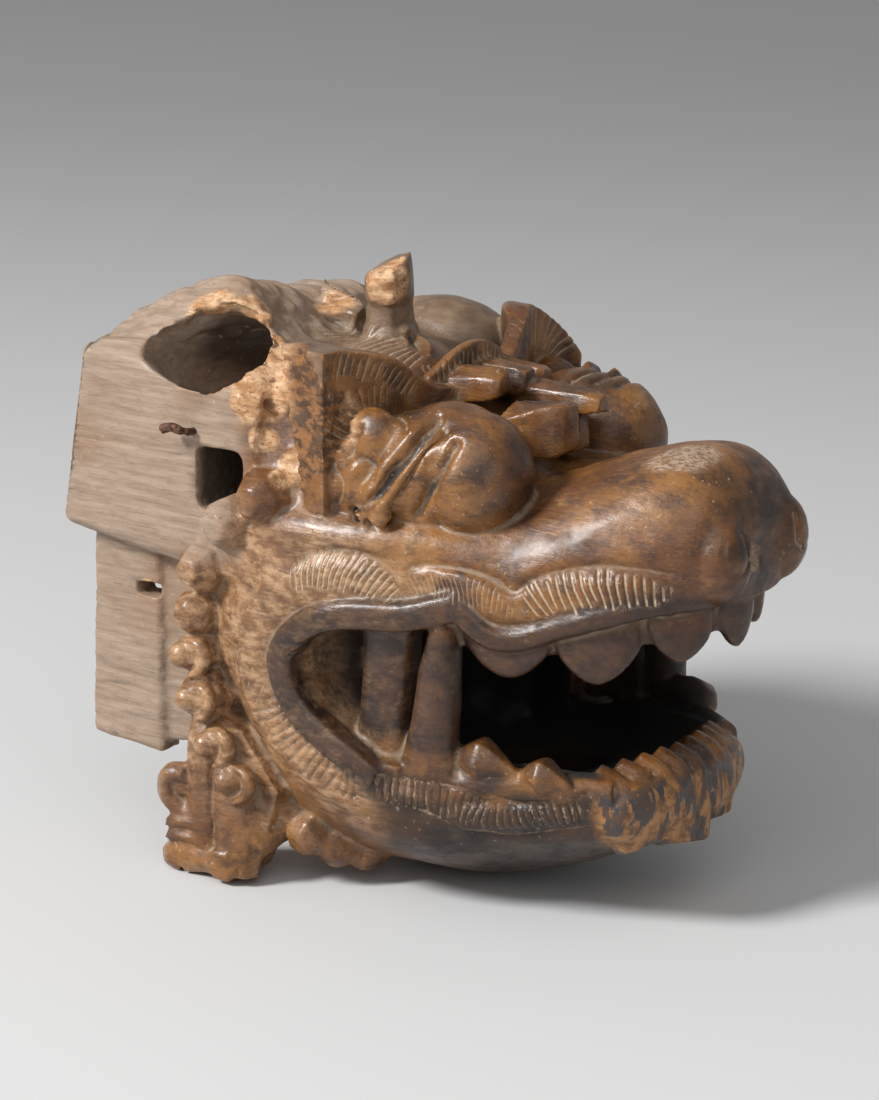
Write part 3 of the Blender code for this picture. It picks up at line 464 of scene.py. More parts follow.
JOWL_BAND = [
    (69.5, -6, 131), (73, 4, 132), (75.5, 16, 133.5), (77.5, 28, 130), (78.5, 40, 124),
    (79, 50, 113), (79, 55, 99), (79, 53, 84), (78.5, 46, 71), (77.5, 34, 60), (76, 22, 51),
    (73, 10, 45), (69, -5, 43), (65, -21, 43.5), (58.5, -46, 46), (52, -65, 49), (44, -82, 52),
]
JOWL_BAND_WIDE = [3, 6, 7, 8, 9, 9, 9, 9, 9, 9, 8, 7.5, 7, 6.5, 5.5, 4.5, 3]
CHEEK = [
    (64, 66, 138), (68, 55, 143), (69, 40, 146), (67.5, 26, 146), (64, 8, 146), (59, -10, 146),
    (54, -26, 145), (48, -42, 145), (42, -58, 146), (36, -72, 148),
]
GUM = [
    (59, -28, 110), (57, -40, 108), (54, -52, 108), (50.5, -65, 111), (45, -79, 109),
    (38, -93, 117), (27, -106, 117), (16, -110, 119), (0, -113, 119),
]
TEETH = [
    (-55.5, -46, 19, 100.5, -0.15), (-45, -79, 16.5, 101.5, -0.45), (-27, -104, 13, 110, -1.1),
    (-3, -112.5, 10, 111.5, -9.0), (24, -103, 12, 112, 1.1), (45, -79, 16.5, 101.5, 0.45),
    (55.5, -46, 19, 100.5, 0.15),
]
MOLARS = [(-58, -36.5, 66, 15, 10), (-54, -62, 64.5, 11, 7.5)]
FANG_FOOT = {-1: (-62, -16), 1: (60, -40)}
RIM_RADIUS, LIP_RADIUS, BAND_RAISE = 5.8, 4.8, 2.6
FANG_RADIUS, FANG_TOP, POST_WIDTH, TOOTH_WALL = 10.0, 119.0, 21.0, 9.0


def mouth_side(side):
    """The rim, the lips, the raised bands and the tall teeth of one side, as skins."""
    out = (side, -0.1, 0)
    front = [(side, 0, 0)] * 7 + [(side * 0.8, -0.5, 0), (side * 0.4, -1, 0), (side * 0.01, -1, 0)]
    r, half = FANG_RADIUS, POST_WIDTH / 2
    x, y = FANG_FOOT[side]
    fang = [(x, y + 1, 54), (x, y, 64), (x, y - 2, 80), (x, y - 4, 100), (x, y - 7, FANG_TOP)]
    post = [(60, 9, 54), (60, 7, 66), (60, 6, 80), (60, 4, 100), (61, 3, 118)]
    fang_wide = [r * 1.5, r * 1.15, r * 0.95, r * 0.8, r * 0.45]
    post_wide = [half * 1.5, half * 1.1, half, half, half * 1.2]
    skins = [
        sweep(sided(RIM, side), RIM_RADIUS, RIM_RADIUS, out, 24, square=0.5),
        sweep(sided(LOWER_LIP, side), 7.0, 6.0, out),
        sweep(sided(UPPER_LIP, side), LIP_RADIUS, LIP_RADIUS, front, square=0.8),
        sweep(sided(MOUSTACHE, side), MOUSTACHE_WIDE, BAND_RAISE, out),
        sweep(sided(JOWL_BAND, side), JOWL_BAND_WIDE, BAND_RAISE, out),
        sweep(sided(CHEEK, side), [8, 10, 10, 10, 10, 10, 9, 8, 5, 2], 10, (side, 0, 0.3)),
        sweep(fang, fang_wide, r * 0.8, out, square=0.85),
        sweep(sided(post, side), post_wide, half * 0.8, out, square=0.7),
        egg((side * 61, -3, 56), (9, 11, 7)),
    ]
    return skins


def molar(x, y, z, half_long, rise):
    """A low pointed mound on the gum, with six flat sides."""
    bend = -0.1 * half_long * math.copysign(1, x)
    line = [(x + bend, y - half_long, z - 3), (x, y, z), (x, y + half_long, z - 3)]
    return sweep(line, [2, 8.5, 2], [2, rise, 2], (0, 0, 1), 6)


def tooth(x, y, half, tip, way):
    """An upper tooth like a petal: it hangs down flat from the gum, keeps its width for half
    its length and then narrows in a round curve to the tip. way is the plan slope y / x of the
    direction that it faces, with the sign of the side."""
    out = np.array((math.copysign(1, x), -abs(way), 0.0))
    out /= np.linalg.norm(out)
    top = tip + 27
    heights = np.array([top, tip + 14, tip + 9, tip + 5, tip + 2, tip + 0.3])
    share = np.array([1.0, 0.98, 0.82, 0.6, 0.36, 0.12])
    lean = np.array([-2.5, 0.0, 0.6, 0.9, 1.0, 1.0])
    path = np.array([(x, y, z) for z in heights]) + lean[:, None] * out
    return sweep(path, half * share, [6, 5, 4.2, 3.6, 2.8, 1.5], out, 20, 1.2, square=0.8)


whole_row = [(-x, y, z) for x, y, z in GUM] + GUM[-2::-1]
details = mouth_side(-1) + mouth_side(1)
details.append(wall([(x, y, z, z + 22, 3, TOOTH_WALL) for x, y, z in whole_row], gap=1.0))
details += [tooth(*row) for row in TEETH] + [molar(*row) for row in MOLARS]
# on the +X side: one large molar, and the thin wall that joins the two tall teeth
details.append(knob((57, -44, 63), (52, -69, 65), 9.5, 6, 30))
web = [(56, -36, 60, 120, 5, 5), (57, -20, 58, 122, 5, 5), (58, 2, 58, 122, 5, 5)]
details.append(wall(web))
print("mouth:", len(details), "skins")

# %% [markdown]
# ## Eyes, folds and brow fins
# A bulging ball without a pupil, three long folds that sweep back and down from it, and an
# upright fin behind them. The outer end of the fin is broken off on the -X side.

# %% Eyes, folds and brow fins
EYE_RADIUS, EYE_TALL, EYE_X, EYE_Y, EYE_Z, FAR_EYE_DROP = 21.5, 1.13, 45.0, -25.0, 173.0, 4.0
FOLDS = [
    [(50, -10, 195), (60, -7, 189), (66, -1, 179), (69.5, 5, 167), (71, 11, 156)],
    [(54, -20, 193), (63, -16, 186), (68, -10, 176), (70, -3, 166), (71, 4, 156)],
]
FOLD_WIDE, FOLD_DEEP = [1.5, 3, 4.2, 4.8, 4.6], [1.5, 3, 3.4, 3.4, 3]
FIN_INNER = [
    (12, 4, 180, 196, 9, 6), (28, 9, 172, 200, 12, 7), (42, 13, 164, 211, 14, 8),
    (55, 19, 156, 215.5, 16, 12),
]
FIN_BROKEN = [(66, 23, 154, 218, 16, 20), (75, 25, 156, 218, 11, 25)]
FIN_WHOLE = [(64, 18, 154, 209, 15, 8), (71, 16, 156, 203, 12, 6), (76.5, 10, 160, 191, 8, 4)]


def eye(side):
    """The ball of one eye, its lid folds and the temple behind it, as skins."""
    drop = FAR_EYE_DROP if side > 0 else 0
    skins = [
        egg((side * EYE_X, EYE_Y, EYE_Z - drop), (EYE_RADIUS, EYE_RADIUS, EYE_RADIUS * EYE_TALL)),
        egg((side * 43, -13, 177 - drop), (21, 26, 22)),
        egg((side * 49, -4, 172 - drop), (20.5, 24, 24)),
        egg((side * 48, -33, 173 - drop), (15, 14, 16)),
        egg((side * 60, 12, 184 - drop), (9, 12, 13)),
        egg((side * 60, 20, 170), (12, 14, 19)),
    ]
    for fold in FOLDS:
        skins.append(sweep(sided(fold, side), FOLD_WIDE, FOLD_DEEP, (side, -0.3, 0.4), 14))
    return skins


def fin(side):
    """The upright brow fin, lower and whole on the +X side."""
    rows = np.array(FIN_INNER + (FIN_BROKEN if side < 0 else FIN_WHOLE), float)
    if side > 0:
        rows[:4, 3] = (195, 202, 212, 214.5)
    return wall(rows, side)


details += eye(-1) + eye(1) + [fin(-1), fin(1)]
print("with eyes:", len(details), "skins")

# %% [markdown]
# ## Forehead, crest, nose and beard
# Blunt wedges stand between the eyes, a lobe rises behind them, and on top are the stub of the
# broken crest and what is left of two petals. The beard is a row of short upright locks.

# %% Forehead, crest, nose and beard
CHIPS = (
    ((9, (-17, 190), (-17, 200), (-8, 204), (-2, 190)),
     (-13, (-16, 194), (-15, 202), (-8, 206), (-3, 195))),
    ((9, (-1, 190), (1, 203), (10, 204), (12, 190)),
     (-14, (-1, 193), (1, 203), (9, 203), (12, 194))),
    ((9, (13, 190), (14, 201), (24, 201), (25, 189)),
     (-13, (14, 192), (15, 201), (22, 200), (24, 192))),
    ((-18, (-26, 174), (-25, 189), (-10, 194), (-6, 176)),
     (-42, (-14, 175), (-12.5, 197), (-2, 196), (0, 175))),
    ((-8, (1, 187), (2, 196), (11, 199), (15, 186)),
     (-46, (3, 189), (4.5, 196), (11, 197), (14, 188))),
    ((-8, (2, 172), (3, 190), (13, 190), (15, 172)),
     (-37, (3, 172), (4, 190), (12, 190), (14, 172))),
)
details += [chip(*row) for row in CHIPS]
details += [
    wall([(-24, 13, 182, 201, 6, 4), (-12, 10, 182, 208, 7, 4), (-3, 9, 182, 211, 8, 4),
          (12, 9, 182, 209, 8, 4), (28, 11, 182, 198, 8, 4)]),
    egg((44, 56, 195), (23, 34, 20)),
    egg((-48, 50, 194), (15, 22, 16)),
    egg((-8, 43, 194), (29, 28, 17)),
    chip((84, (-6, 200), (-3, 218), (3, 226), (10, 204)),
         (62, (-8, 204), (-6, 216), (2, 221), (8, 206))),
    egg((-20, -116.5, 150), (13, 11.5, 17)),
    egg((20, -116.5, 150), (13, 11.5, 17)),
]


def stub():
    """What is left of the crest: a thick blade with five sides, whose top ring is tilted where
    the wood broke off and whose lower rings step in under the break."""
    u = np.linspace(0, 2 * math.pi, 7, endpoint=False) + 0.3
    plan = np.stack([0.95 * np.cos(u), 0.85 * np.sin(u), 0 * u], axis=-1)
    rings = []
    for z, grow, x, y in (
        (203, 14, -4, 46), (212.5, 13, -4, 46), (214, 11.5, -4, 46.5), (222, 10.5, -3.5, 46.5),
        (225, 11.5, -4.5, 46), (234, 11, -4.5, 46),
    ):
        rings.append(plan * grow + (x, y, z))
    top = plan * 9 + (-3, 46, 239)
    top[:, 2] += 0.3 * (top[:, 0] + 2) - 0.3 * (top[:, 1] - 46)
    return closed(rings + [top])


details.append(stub())


def lock(i, count=9):
    """One lock of the beard: a flattened tube that hangs over the front of the jaw and leans
    sideways as it falls, in a slight wave."""
    x = -38 + 8.6 * i + np.array([0, 2.5, 2.5, 5.5, 6.0])
    y = -77 - 13.5 * np.cos(np.clip(x, -44, 44) / 44 * math.pi / 2)
    low = 29 + 5 * ((i * 3) % 4) / 3 + (4 if i in (0, count - 1) else 0)
    high = 62 + 3 * math.sin(math.pi * (i + 1) / (count + 1))
    path = np.stack([x, y + (6, 0, -2, -2, -4), (high, high - 6, 49, 39, low)], axis=-1)
    return sweep(path, [4.5, 5.8, 6.2, 5.8, 3.6], [6, 9, 10, 9, 6], (0, -1, 0), 12)


details += [lock(i) for i in range(9)]
print("with the forehead and beard:", len(details), "skins")

# %% [markdown]
# ## Collar and feet
# Round the back of each jowl runs a chain of faceted knobs, which ends in a scrolled foot under
# the neck. The head stands on the jaw and on these two feet. A flat plate hangs behind them.

# %% Collar and feet
PEGS = [
    (54, 158, 66, 12), (70, 145, 66, 12), (84, 125, 62, 11), (88, 106, 61, 10.5),
    (88, 90, 60, 10), (84, 73, 60, 12), (75, 56, 58, 10.5), (65, 43, 56, 9),
]
CHIN_PEGS = [
    (61, 50, 27, 9), (62, 40, 20, 10.5), (55, 31, 14.5, 9.5), (46, 23, 11.5, 8.5),
]
FOOT = [
    (92, 44), (86, 62), (66, 62), (48, 40), (52, 26), (64, 3),
    (72, 0), (92, 1), (96, 12), (86, 22), (84, 34),
]
PEG_REACH, STRAND = 82.0, 4.5


def collar(side):
    """The knobs, the strands of the scroll and the foot of one side."""
    skins = []
    for i, (y, z, root, size) in enumerate(PEGS):
        reach = PEG_REACH - (2 if i in (3, 4) else 0)
        start = (side * (root - 14), y - 2, z)
        skins.append(knob(start, (side * (reach + 2), y + 2, z), size * 0.92, 6, 25 * i))
        skins.append(egg((side * (root - 3), y - 1, z - 7), (13, 8, 9)))
        if i > 3:
            skins.append(egg((side * (reach + 1), y + 3, z), (5, 5, 5)))
            bend = [(0, 6), (-5, 5), (-8, 0), (-6, -5), (-1, -8)]
            curl = [(side * (reach - 1 + 0.5 * k), y + a, z + b) for k, (a, b) in enumerate(bend)]
            skins.append(sweep(curl, [1.2, 2.4, 2.8, 2.4, 1.0], 3, (side, 0, 0), 8))
    for x, y, z, size in CHIN_PEGS:
        ends = (side * (x - 14), y, z + 10), (side * (x + 9), y + 3, z - 2)
        skins.append(knob(*ends, size * 0.95, 5, 30 * x))
    strands = (
        ([(68, 84, 74), (75, 84, 58), (78, 83, 42), (79, 82, 28), (79, 81, 14)], 1.6, 7),
        ([(64, 66, 56), (73, 68, 46), (77, 67, 30), (78, 66, 14), (78, 67, 4)], 2.3, 8),
        ([(79, 82, 27), (81, 90, 26), (83, 97, 33), (83, 95, 41), (82, 88, 42)], 0.9, 5.5),
        ([(79, 80, 22), (81, 92, 22), (81, 96, 20)], 0.8, 7),
        ([(79, 80, 16), (81, 92, 16), (81, 96, 15)], 0.8, 7),
        ([(79, 80, 10), (80, 92, 9), (79, 97, 6), (78, 92, 3)], 1.3, 7),
        ([(78, 66, 6), (78, 78, 8), (78, 90, 6)], 1.6, 9),
    )
    for path, wide, deep in strands:
        skins.append(sweep(sided(path, side), wide * STRAND, deep, (side, 0, 0), 8))
    skins.append(plate(FOOT, *sorted((side * 60, side * 76))))
    skins.append(peg((side * 66, 70, 9), (side * 87, 69, 8), 9.5, 7, 6))
    skins.append(peg((side * 52, 58, 30), (side * 79, 62, 17), 13, 9, 6))
    skins += [egg((side * 80, 91, 36), (5, 6, 6)), egg((side * 70, 60, 28), (9, 8, 8))]
    return skins


def hanging_plate(side):
    """The flat plate behind the jowl, with its stepped front edge and a small slot."""
    inner, outer = side * (PANEL_FACE - PANEL_THICK), side * PANEL_FACE
    low = plate([(118, 134), (151, 134), (155, 40), (118, 38)], *sorted((inner, outer)))
    step = plate([(96, 126), (122, 126), (122, 42), (100, 46)], *sorted((inner, outer - 3 * side)))
    made = piece("hanging_plate", [low, step])
    opening = rounded(124, 106, 5.5, 3, 1)
    slot = piece("slot_cutter", [plate(opening, side * PANEL_FACE - 25, side * PANEL_FACE + 25)])
    finished(made, "REMESH", mode="VOXEL", voxel_size=PLATE_VOXEL * MM)
    take_out(made, slot)
    return made


details += collar(-1) + collar(1)
plates = [hanging_plate(-1), hanging_plate(1)]
print("with the collar:", len(details), "skins")

# %% [markdown]
# ## One skin at last
# All the skins are joined to the rough head and remeshed at a millimetre. The steps that the
# cubes leave are evened out by averaging, and the sawn back and the floor are then cut flat.

# %% One skin at last
BACK_FOOT, BACK_FOOT_Z, BACK_FROM_Z, BACK_LEAN = 157.7, 135.3, 130, 0.185
EVEN_ROUNDS = 2
joined = bmesh.new()
for made in [rough] + plates:
    joined.from_mesh(made.data)
    bpy.data.objects.remove(made)
base = bpy.data.meshes.new("base")
joined.to_mesh(base)
joined.free()
head = piece("barong_head_carved", details, extra=base)
print("fine head:", finished(head, "REMESH", mode="VOXEL", voxel_size=FINE_VOXEL * MM), "points")


def read(mesh, what, width, kind=np.float32):
    """One column of a mesh as an array, with that many numbers in each row."""
    items, name = what
    data = np.empty(len(items) * width, kind)
    items.foreach_get(name, data)
    return data.reshape(-1, width)


def points_of(mesh):
    """The mesh's points in millimetres."""
    return read(mesh, (mesh.vertices, "co"), 3).astype(float) / MM


def normals_of(mesh):
    """The direction that the surface faces at each point."""
    return read(mesh, (mesh.vertex_normals, "vector"), 3).astype(float)


def edges_of(mesh):
    """The two points that each edge joins."""
    return read(mesh, (mesh.edges, "vertices"), 2, np.int32)


def averaged(values, edges, times):
    """Each point's value set halfway to the mean of its neighbours, that many times."""
    count = np.bincount(edges.ravel(), minlength=len(values)).astype(float)
    for _ in range(times):
        total = np.zeros_like(values)
        for a, b in ((0, 1), (1, 0)):
            for k in range(values.shape[1]):
                total[:, k] += np.bincount(
                    edges[:, a], weights=values[edges[:, b], k], minlength=len(values)
                )
        values = 0.5 * values + 0.5 * total / count[:, None]
    return values


edges = edges_of(head.data)
points = averaged(points_of(head.data), edges, EVEN_ROUNDS)
above = points[:, 2] > BACK_FROM_Z
limit = BACK_FOOT - (points[:, 2] - BACK_FOOT_Z) * BACK_LEAN
points[:, 1] = np.where(above, np.minimum(points[:, 1], limit), points[:, 1])
points[:, 2] = np.maximum(points[:, 2], 0.0)
head.data.vertices.foreach_set("co", (points * MM).astype(np.float32).ravel())
head.data.update()
normals = normals_of(head.data)
print("smoothed", len(points), "points")


# %% [markdown]
# ## Noise
# Real wood is never even. Value noise gives random numbers to the corners of cubes and blends
# between them; long cubes give streaks that run with the grain, which is along Y here.

# %% Noise
TABLE = random.random(4096)


def grit(at, size, seed=0):
    """Value noise from -1 to 1. Each point takes the smooth blend of the random numbers at the
    eight corners of its cube, whose sides are given by size."""
    p = at / np.asarray(size, float) + 17.3 * (seed + 1)
    cell = np.floor(p).astype(np.int64)
    f = p - cell
    f = f * f * (3 - 2 * f)
    total = np.zeros(len(at))
    for corner in range(8):
        bit = np.array([corner & 1, (corner >> 1) & 1, corner >> 2])
        c = cell + bit
        index = (c[:, 0] * 73856093 ^ c[:, 1] * 19349663 ^ c[:, 2] * 83492791) & 4095
        total += TABLE[index] * np.where(bit, f, 1 - f).prod(1)
    return 2 * total - 1


def ramp(values, low, high):
    """0 below low, 1 above high, smooth between."""
    t = np.clip((values - low) / (high - low), 0, 1)
    return t * t * (3 - 2 * t)


def patch(at, balls, edge=0.35):
    """1 inside the balls (x, y, z, radius), fading to 0 over the last share of the radius."""
    best = np.zeros(len(at))
    for x, y, z, radius in balls:
        away = np.linalg.norm(at - (x, y, z), axis=1) / radius
        best = np.maximum(best, 1 - ramp(away, 1 - edge, 1))
    return best


print("noise runs from", round(grit(points, 5).min(), 2), "to", round(grit(points, 5).max(), 2))

# %% [markdown]
# ## Knife cuts
# The bands round the mouth, the brow fins and the forehead are hatched with short cuts two to
# three and a half millimetres apart. Each point near a band's line gets its distance along it,
# counted in cuts, and a narrow valley is sunk halfway through each cut's step. The same number is
# kept for the finish, which lays dust in the cuts. Longer single lines are one valley each, which
# follows the line.

# %% Knife cuts
def beside(at, path, reach):
    """Rows of the points within reach of a smooth line, with their distance along it and their
    offset from its nearest point."""
    length = along(path)[-1]
    line = spaced(path, int(length) + 2)
    station = along(line)
    near = ((at > line.min(0) - reach) & (at < line.max(0) + reach)).all(1)
    rows = np.flatnonzero(near)
    p = at[rows]
    k = ((p**2).sum(1)[:, None] - 2 * p @ line.T + (line**2).sum(1)).argmin(1)
    offset = p - line[k]
    inside = np.linalg.norm(offset, axis=1) < reach
    tangent = np.gradient(line, axis=0)
    tangent /= np.linalg.norm(tangent, axis=1)[:, None]
    rows, k, offset = rows[inside], k[inside], offset[inside]
    s = station[k] + (offset * tangent[k]).sum(1)
    return rows, s, offset, tangent[k], length


cut_step = np.zeros(len(points))
cut_mask = np.zeros(len(points))
sunk = np.zeros(len(points))


def hatch(path, wide, out, slant=0.0, depth=0.55, spacing=3.2, dust=1.0, ragged=0.8):
    """Short cuts across a band. At distance s along it and t across it, the cut number is
    (s + slant t) / spacing, and the valley is exp(-(fraction - 1/2)^2 / 0.03)."""
    path = np.asarray(path, float)
    wide = np.broadcast_to(np.asarray(wide, float), len(path))
    rows, s, offset, tangent, length = beside(points, path, wide.max() + 6)
    side_way = np.cross(tangent, out)
    side_way /= np.linalg.norm(side_way, axis=1)[:, None]
    t = (offset * side_way).sum(1)
    half = np.interp(s, along(path), wide)
    face = (normals[rows] * out).sum(1)
    number = (s + slant * t + 0.7 * grit(points[rows], (9, 9, 9), 3)) / spacing
    uneven = TABLE[(np.floor(number).astype(np.int64) * 37) & 4095]
    half = half * (1 - 0.35 * uneven)
    mask = ramp(half - np.abs(t) + ragged * grit(points[rows], 4), -0.5, 1.5)
    mask *= ramp(face, 0.0, 0.4)
    mask *= ramp(s, 0, 2) * ramp(length - s, 0, 2) * (1 - 0.5 * uneven * (ragged > 1))
    valley = np.exp(-((number % 1 - 0.5) ** 2) / 0.03)
    better = mask * dust > cut_mask[rows]
    kept = rows[better]
    cut_step[kept], cut_mask[kept] = number[better], (mask * dust)[better]
    sunk[kept] = depth * (mask * valley)[better]
    return len(kept)


def engrave(path, half, depth):
    """One line cut along a path: the valley is depth exp(-(d / half)^2) at distance d from it.
    A depth under 0 raises a ridge instead."""
    path = np.asarray(path, float)
    rows, s, offset, _, length = beside(points, path, 3 * half + 3)
    flat = offset - (offset * normals[rows]).sum(1)[:, None] * normals[rows]
    away = np.linalg.norm(flat, axis=1)
    ends = ramp(s, -1, 3) * ramp(length - s, -1, 3)
    deep = depth * np.exp(-((away / half) ** 2)) * ends
    sunk[rows] += deep
    return len(rows)


# the hatched bands, on the -X side
MOUSTACHE_REAR = [
    (-80.5, 38, 129), (-79.5, 30.5, 133), (-78.5, 22, 135.5), (-77.5, 13, 136), (-75.5, 5, 134.5),
    (-73.5, -2.5, 132), (-71.5, -8, 129.5),
]
MOUSTACHE_MIDDLE = [
    (-71, -10, 133.5), (-69, -18, 135), (-67, -26, 134.5), (-66.5, -34.5, 134.5), (-65.5, -43, 132.5),
    (-63, -50.5, 129.5), (-61, -55.5, 127),
]
MOUSTACHE_FRONT = [
    (-60.5, -57, 131.5), (-58, -64.5, 136), (-55.5, -74, 138.5), (-52, -85, 140.5), (-47.5, -95, 140.5),
    (-41, -102, 139.5), (-37, -107.5, 138.5),
]
JOWL_FINE = [(-75, 73, 110), (-78, 66, 102), (-81, 60, 94), (-82, 57.5, 88)]
JOWL_LONG = [(-76, 70, 96), (-79, 63, 88), (-81, 56, 81), (-81.5, 52, 76)]
RADIAL = [
    (-81.5, 51, 80), (-81, 47, 73.5), (-80.5, 41, 67), (-80, 33.5, 61), (-79, 25, 56.5),
    (-77.5, 14.5, 52.5), (-77, 5, 50.5),
]
COMB = [
    (-76.5, 1.5, 53), (-72, -7, 52), (-69, -20.5, 51), (-65, -30, 49), (-62, -42, 46),
    (-58, -54, 46.5), (-54, -66.5, 49.5), (-49, -77.5, 53),
]
# path, half width, slant, depth, spacing, how much dust, how ragged
BANDS = (
    (MOUSTACHE_REAR, [4, 7.5, 9, 9, 8, 6, 3], 0.35, 0.8, 2.7, 0.9, 0.8),
    (MOUSTACHE_MIDDLE, [3, 5, 6, 6, 6, 5, 4], -0.3, 0.3, 2.1, 0.45, 1.5),
    (MOUSTACHE_FRONT, [7, 8, 8.5, 8, 7.5, 6, 4], -0.2, 0.8, 3.3, 0.95, 0.8),
    (JOWL_FINE, [6, 9, 9, 6], 0.8, 0.5, 2.5, 0.1, 2.5),
    (JOWL_LONG, [5, 8, 8, 5], -0.5, 0.8, 3.4, 0.1, 3),
    (RADIAL, [8, 9, 9, 9, 8.5, 7.5, 6.5], 0.15, 1.25, 3.4, 0.1, 2.0),
    (COMB, [5.5, 6.5, 7, 7.5, 7.5, 7, 6, 4], 0.0, 1.2, 2.9, 0.1, 1.8),
)
# lines cut on both sides: path, half width, depth
LINES = (
    ([(-78, 1.5, 58), (-72, -7, 56.5), (-68.5, -23, 57), (-65, -32.5, 56), (-61, -45.5, 54),
      (-58, -53, 52.5), (-56, -60.5, 53.5), (-52.5, -73, 57), (-48, -80.5, 60)], 0.9, 0.9),
    ([(-77.5, 19.5, 48), (-75.5, 9.5, 46.5), (-74, -5, 46.5), (-69, -17, 44.5), (-65.5, -27, 41),
      (-59, -35, 38.5), (-55, -44.5, 37.5), (-53, -58.5, 40), (-49.5, -71, 43.5),
      (-45.5, -83, 47)], 1.0, 0.9),
    ([(-70.5, -9.5, 139.5), (-68, -17.5, 142), (-65.5, -27, 142.5), (-63, -36.5, 141.5),
      (-61, -45.5, 139), (-60.5, -52, 136), (-58, -58, 141), (-54.5, -68.5, 145.5), (-49, -83, 148.5),
      (-44, -97, 148.5), (-38, -110.5, 146.5)], 1.6, 1.3),
    ([(-79.5, 37.5, 133.5), (-78, 31.5, 139.5), (-76.5, 23, 142.5), (-75, 14.5, 144), (-73.5, 6.5, 143),
      (-72.5, -2, 140.5), (-71, -9, 135.5)], 1.5, 1.2),
    ([(-20, -125, 162.5), (-17.5, -126, 160), (-17, -126.5, 155), (-17.5, -125.5, 149.5),
      (-22, -124.5, 146.5)], 1.3, 1.8),
    ([(-22, -124.5, 146.5), (-27, -124, 149), (-29.5, -123.5, 155), (-27.5, -123.5, 160.5)], 1.2, 0.6),
)
# lines, ridges (with a depth under 0) and cracks of the -X side alone
NEAR_LINES = (
    ([(-52.5, -13.5, 197), (-57, -13, 193), (-62.5, -11, 188), (-67, -8.5, 182.5), (-69, -5, 177),
      (-71, -0.5, 170.5), (-71, 5.5, 164), (-69, 16, 155.5)], 2.3, 3.6),
    ([(-55, -18.5, 194), (-61, -18, 190.5), (-65.5, -17, 186.5), (-68, -15.5, 182.5), (-70, -13.5, 177),
      (-71, -10.5, 171.5), (-72, -7, 165.5), (-72, -2, 160)], 2.2, 3.2),
    ([(-59.5, -26.5, 190.5), (-62.5, -25.5, 187.5), (-64.5, -24, 183), (-65.5, -22, 178.5),
      (-65.5, -19.5, 173.5), (-65.5, -16.5, 168), (-65.5, -14, 163), (-64.5, -9.5, 157.5)], 2.2, 3.0),
    ([(-67, 12.5, 191.5), (-68, 14.5, 187), (-68.5, 16, 182), (-70, 16, 177.5)], 1.4, 1.8),
    ([(-50, 10, 192.5), (-54, 5, 193.5), (-59.5, -2, 192.5), (-62.5, -4.5, 190)], 1.2, 1.2),
    ([(-71, 16, 174), (-70, 14.5, 177.5), (-68.5, 11.5, 178.5), (-67, 8, 177.5), (-69, 4.5, 175),
      (-70, 4.5, 171), (-71, 8.5, 168.5)], 1.1, 1.3),
    ([(-72, 24, 174), (-71.5, 20.5, 172), (-72, 18.5, 168), (-71, 20, 162.5), (-71, 24, 158)], 1.2, 1.4),
    ([(-74, 26, 180.5), (-72, 24, 178), (-71.5, 21.5, 174)], 1.2, 1.3),
    ([(-4.5, 37.5, 214.5), (-8.5, 36.5, 211.5), (-14.5, 30, 208.5), (-16, 24, 205.5), (-10.5, 23.5, 206),
      (-4, 29, 209.5), (-3, 35, 213)], 1.3, -1.8),
    ([(-5, 35, 212.5), (-8, 31.5, 209.5), (-12, 26, 207)], 1.6, 1.8),
    ([(-83.5, 42, 105), (-83.5, 37.5, 104), (-82.5, 32.5, 105), (-80, 28, 107.5), (-79.5, 22.5, 110.5)],
     0.7, 1.0),
    ([(-79.5, 7, 118.5), (-78, -1.5, 119.5), (-76, -10.5, 120.5)], 0.6, 0.7),
    ([(-11, -127, 155), (-8, -127, 150), (-7, -126, 145)], 4.0, 2.6),
    ([(-83, 38, 99), (-82, 30, 102), (-80, 22, 103), (-78, 14, 104)], 0.7, 1.3),
    ([(-72, 150, 166), (-72, 130, 167.5), (-72, 104, 166.5), (-72, 92, 168)], 0.7, 0.7),
    ([(-72, 148, 150), (-72, 128, 150.5), (-72, 112, 149)], 0.6, 0.6),
    ([(-62, 148, 88), (-62, 130, 87), (-62, 104, 89)], 0.7, 0.7),
    ([(-62, 150, 62), (-62, 132, 63), (-62, 118, 62)], 0.7, 0.8),
)
for side in (-1, 1):
    out = np.array((side, 0.0, 0.0))
    flip = (-side, 1, 1)
    for path, wide, slant, depth, spacing, dust, ragged in BANDS:
        hatch(np.array(path) * flip, wide, out, -side * slant, depth, spacing, dust, ragged)
    for path, half, depth in LINES:
        engrave(np.array(path) * flip, half, depth)
for path, half, depth in NEAR_LINES:
    engrave(path, half, depth)
# hatching on upright faces: path, half width, the way the face looks, spacing
UPRIGHT = (
    ([(-69.5, 24, 182), (-67.5, 23.5, 187), (-65, 22.5, 191.5), (-61.5, 21.5, 195), (-56.5, 19.5, 198),
      (-51, 17, 199), (-45.5, 14.5, 199)], 5, (-0.8, -0.5, 0.3), 2.8),
    ([(-70.5, 24, 213), (-62, 21.5, 211.5), (-54.5, 19, 209.5), (-48, 15.5, 207), (-42.5, 13, 203.5),
      (-35, 11, 198)], 5, (-0.5, -0.8, 0.2), 2.9),
    ([(-6, 67, 210), (-11.5, 53, 209), (-18, 40.5, 207), (-21, 30, 204), (-20, 22.5, 201)],
     7, (-1, 0, 0.4), 3),
    ([(-22, 10, 202), (-12, 8, 204), (-1, 7, 205), (12, 7, 204), (24, 9, 200)], 6, (0, -1, 0), 3),
    ([(35, 9, 203), (55, 12, 204.5), (64, 14, 204), (71, 14, 199), (75, 11, 192)], 9, (0.2, -1, 0), 3.2),
)
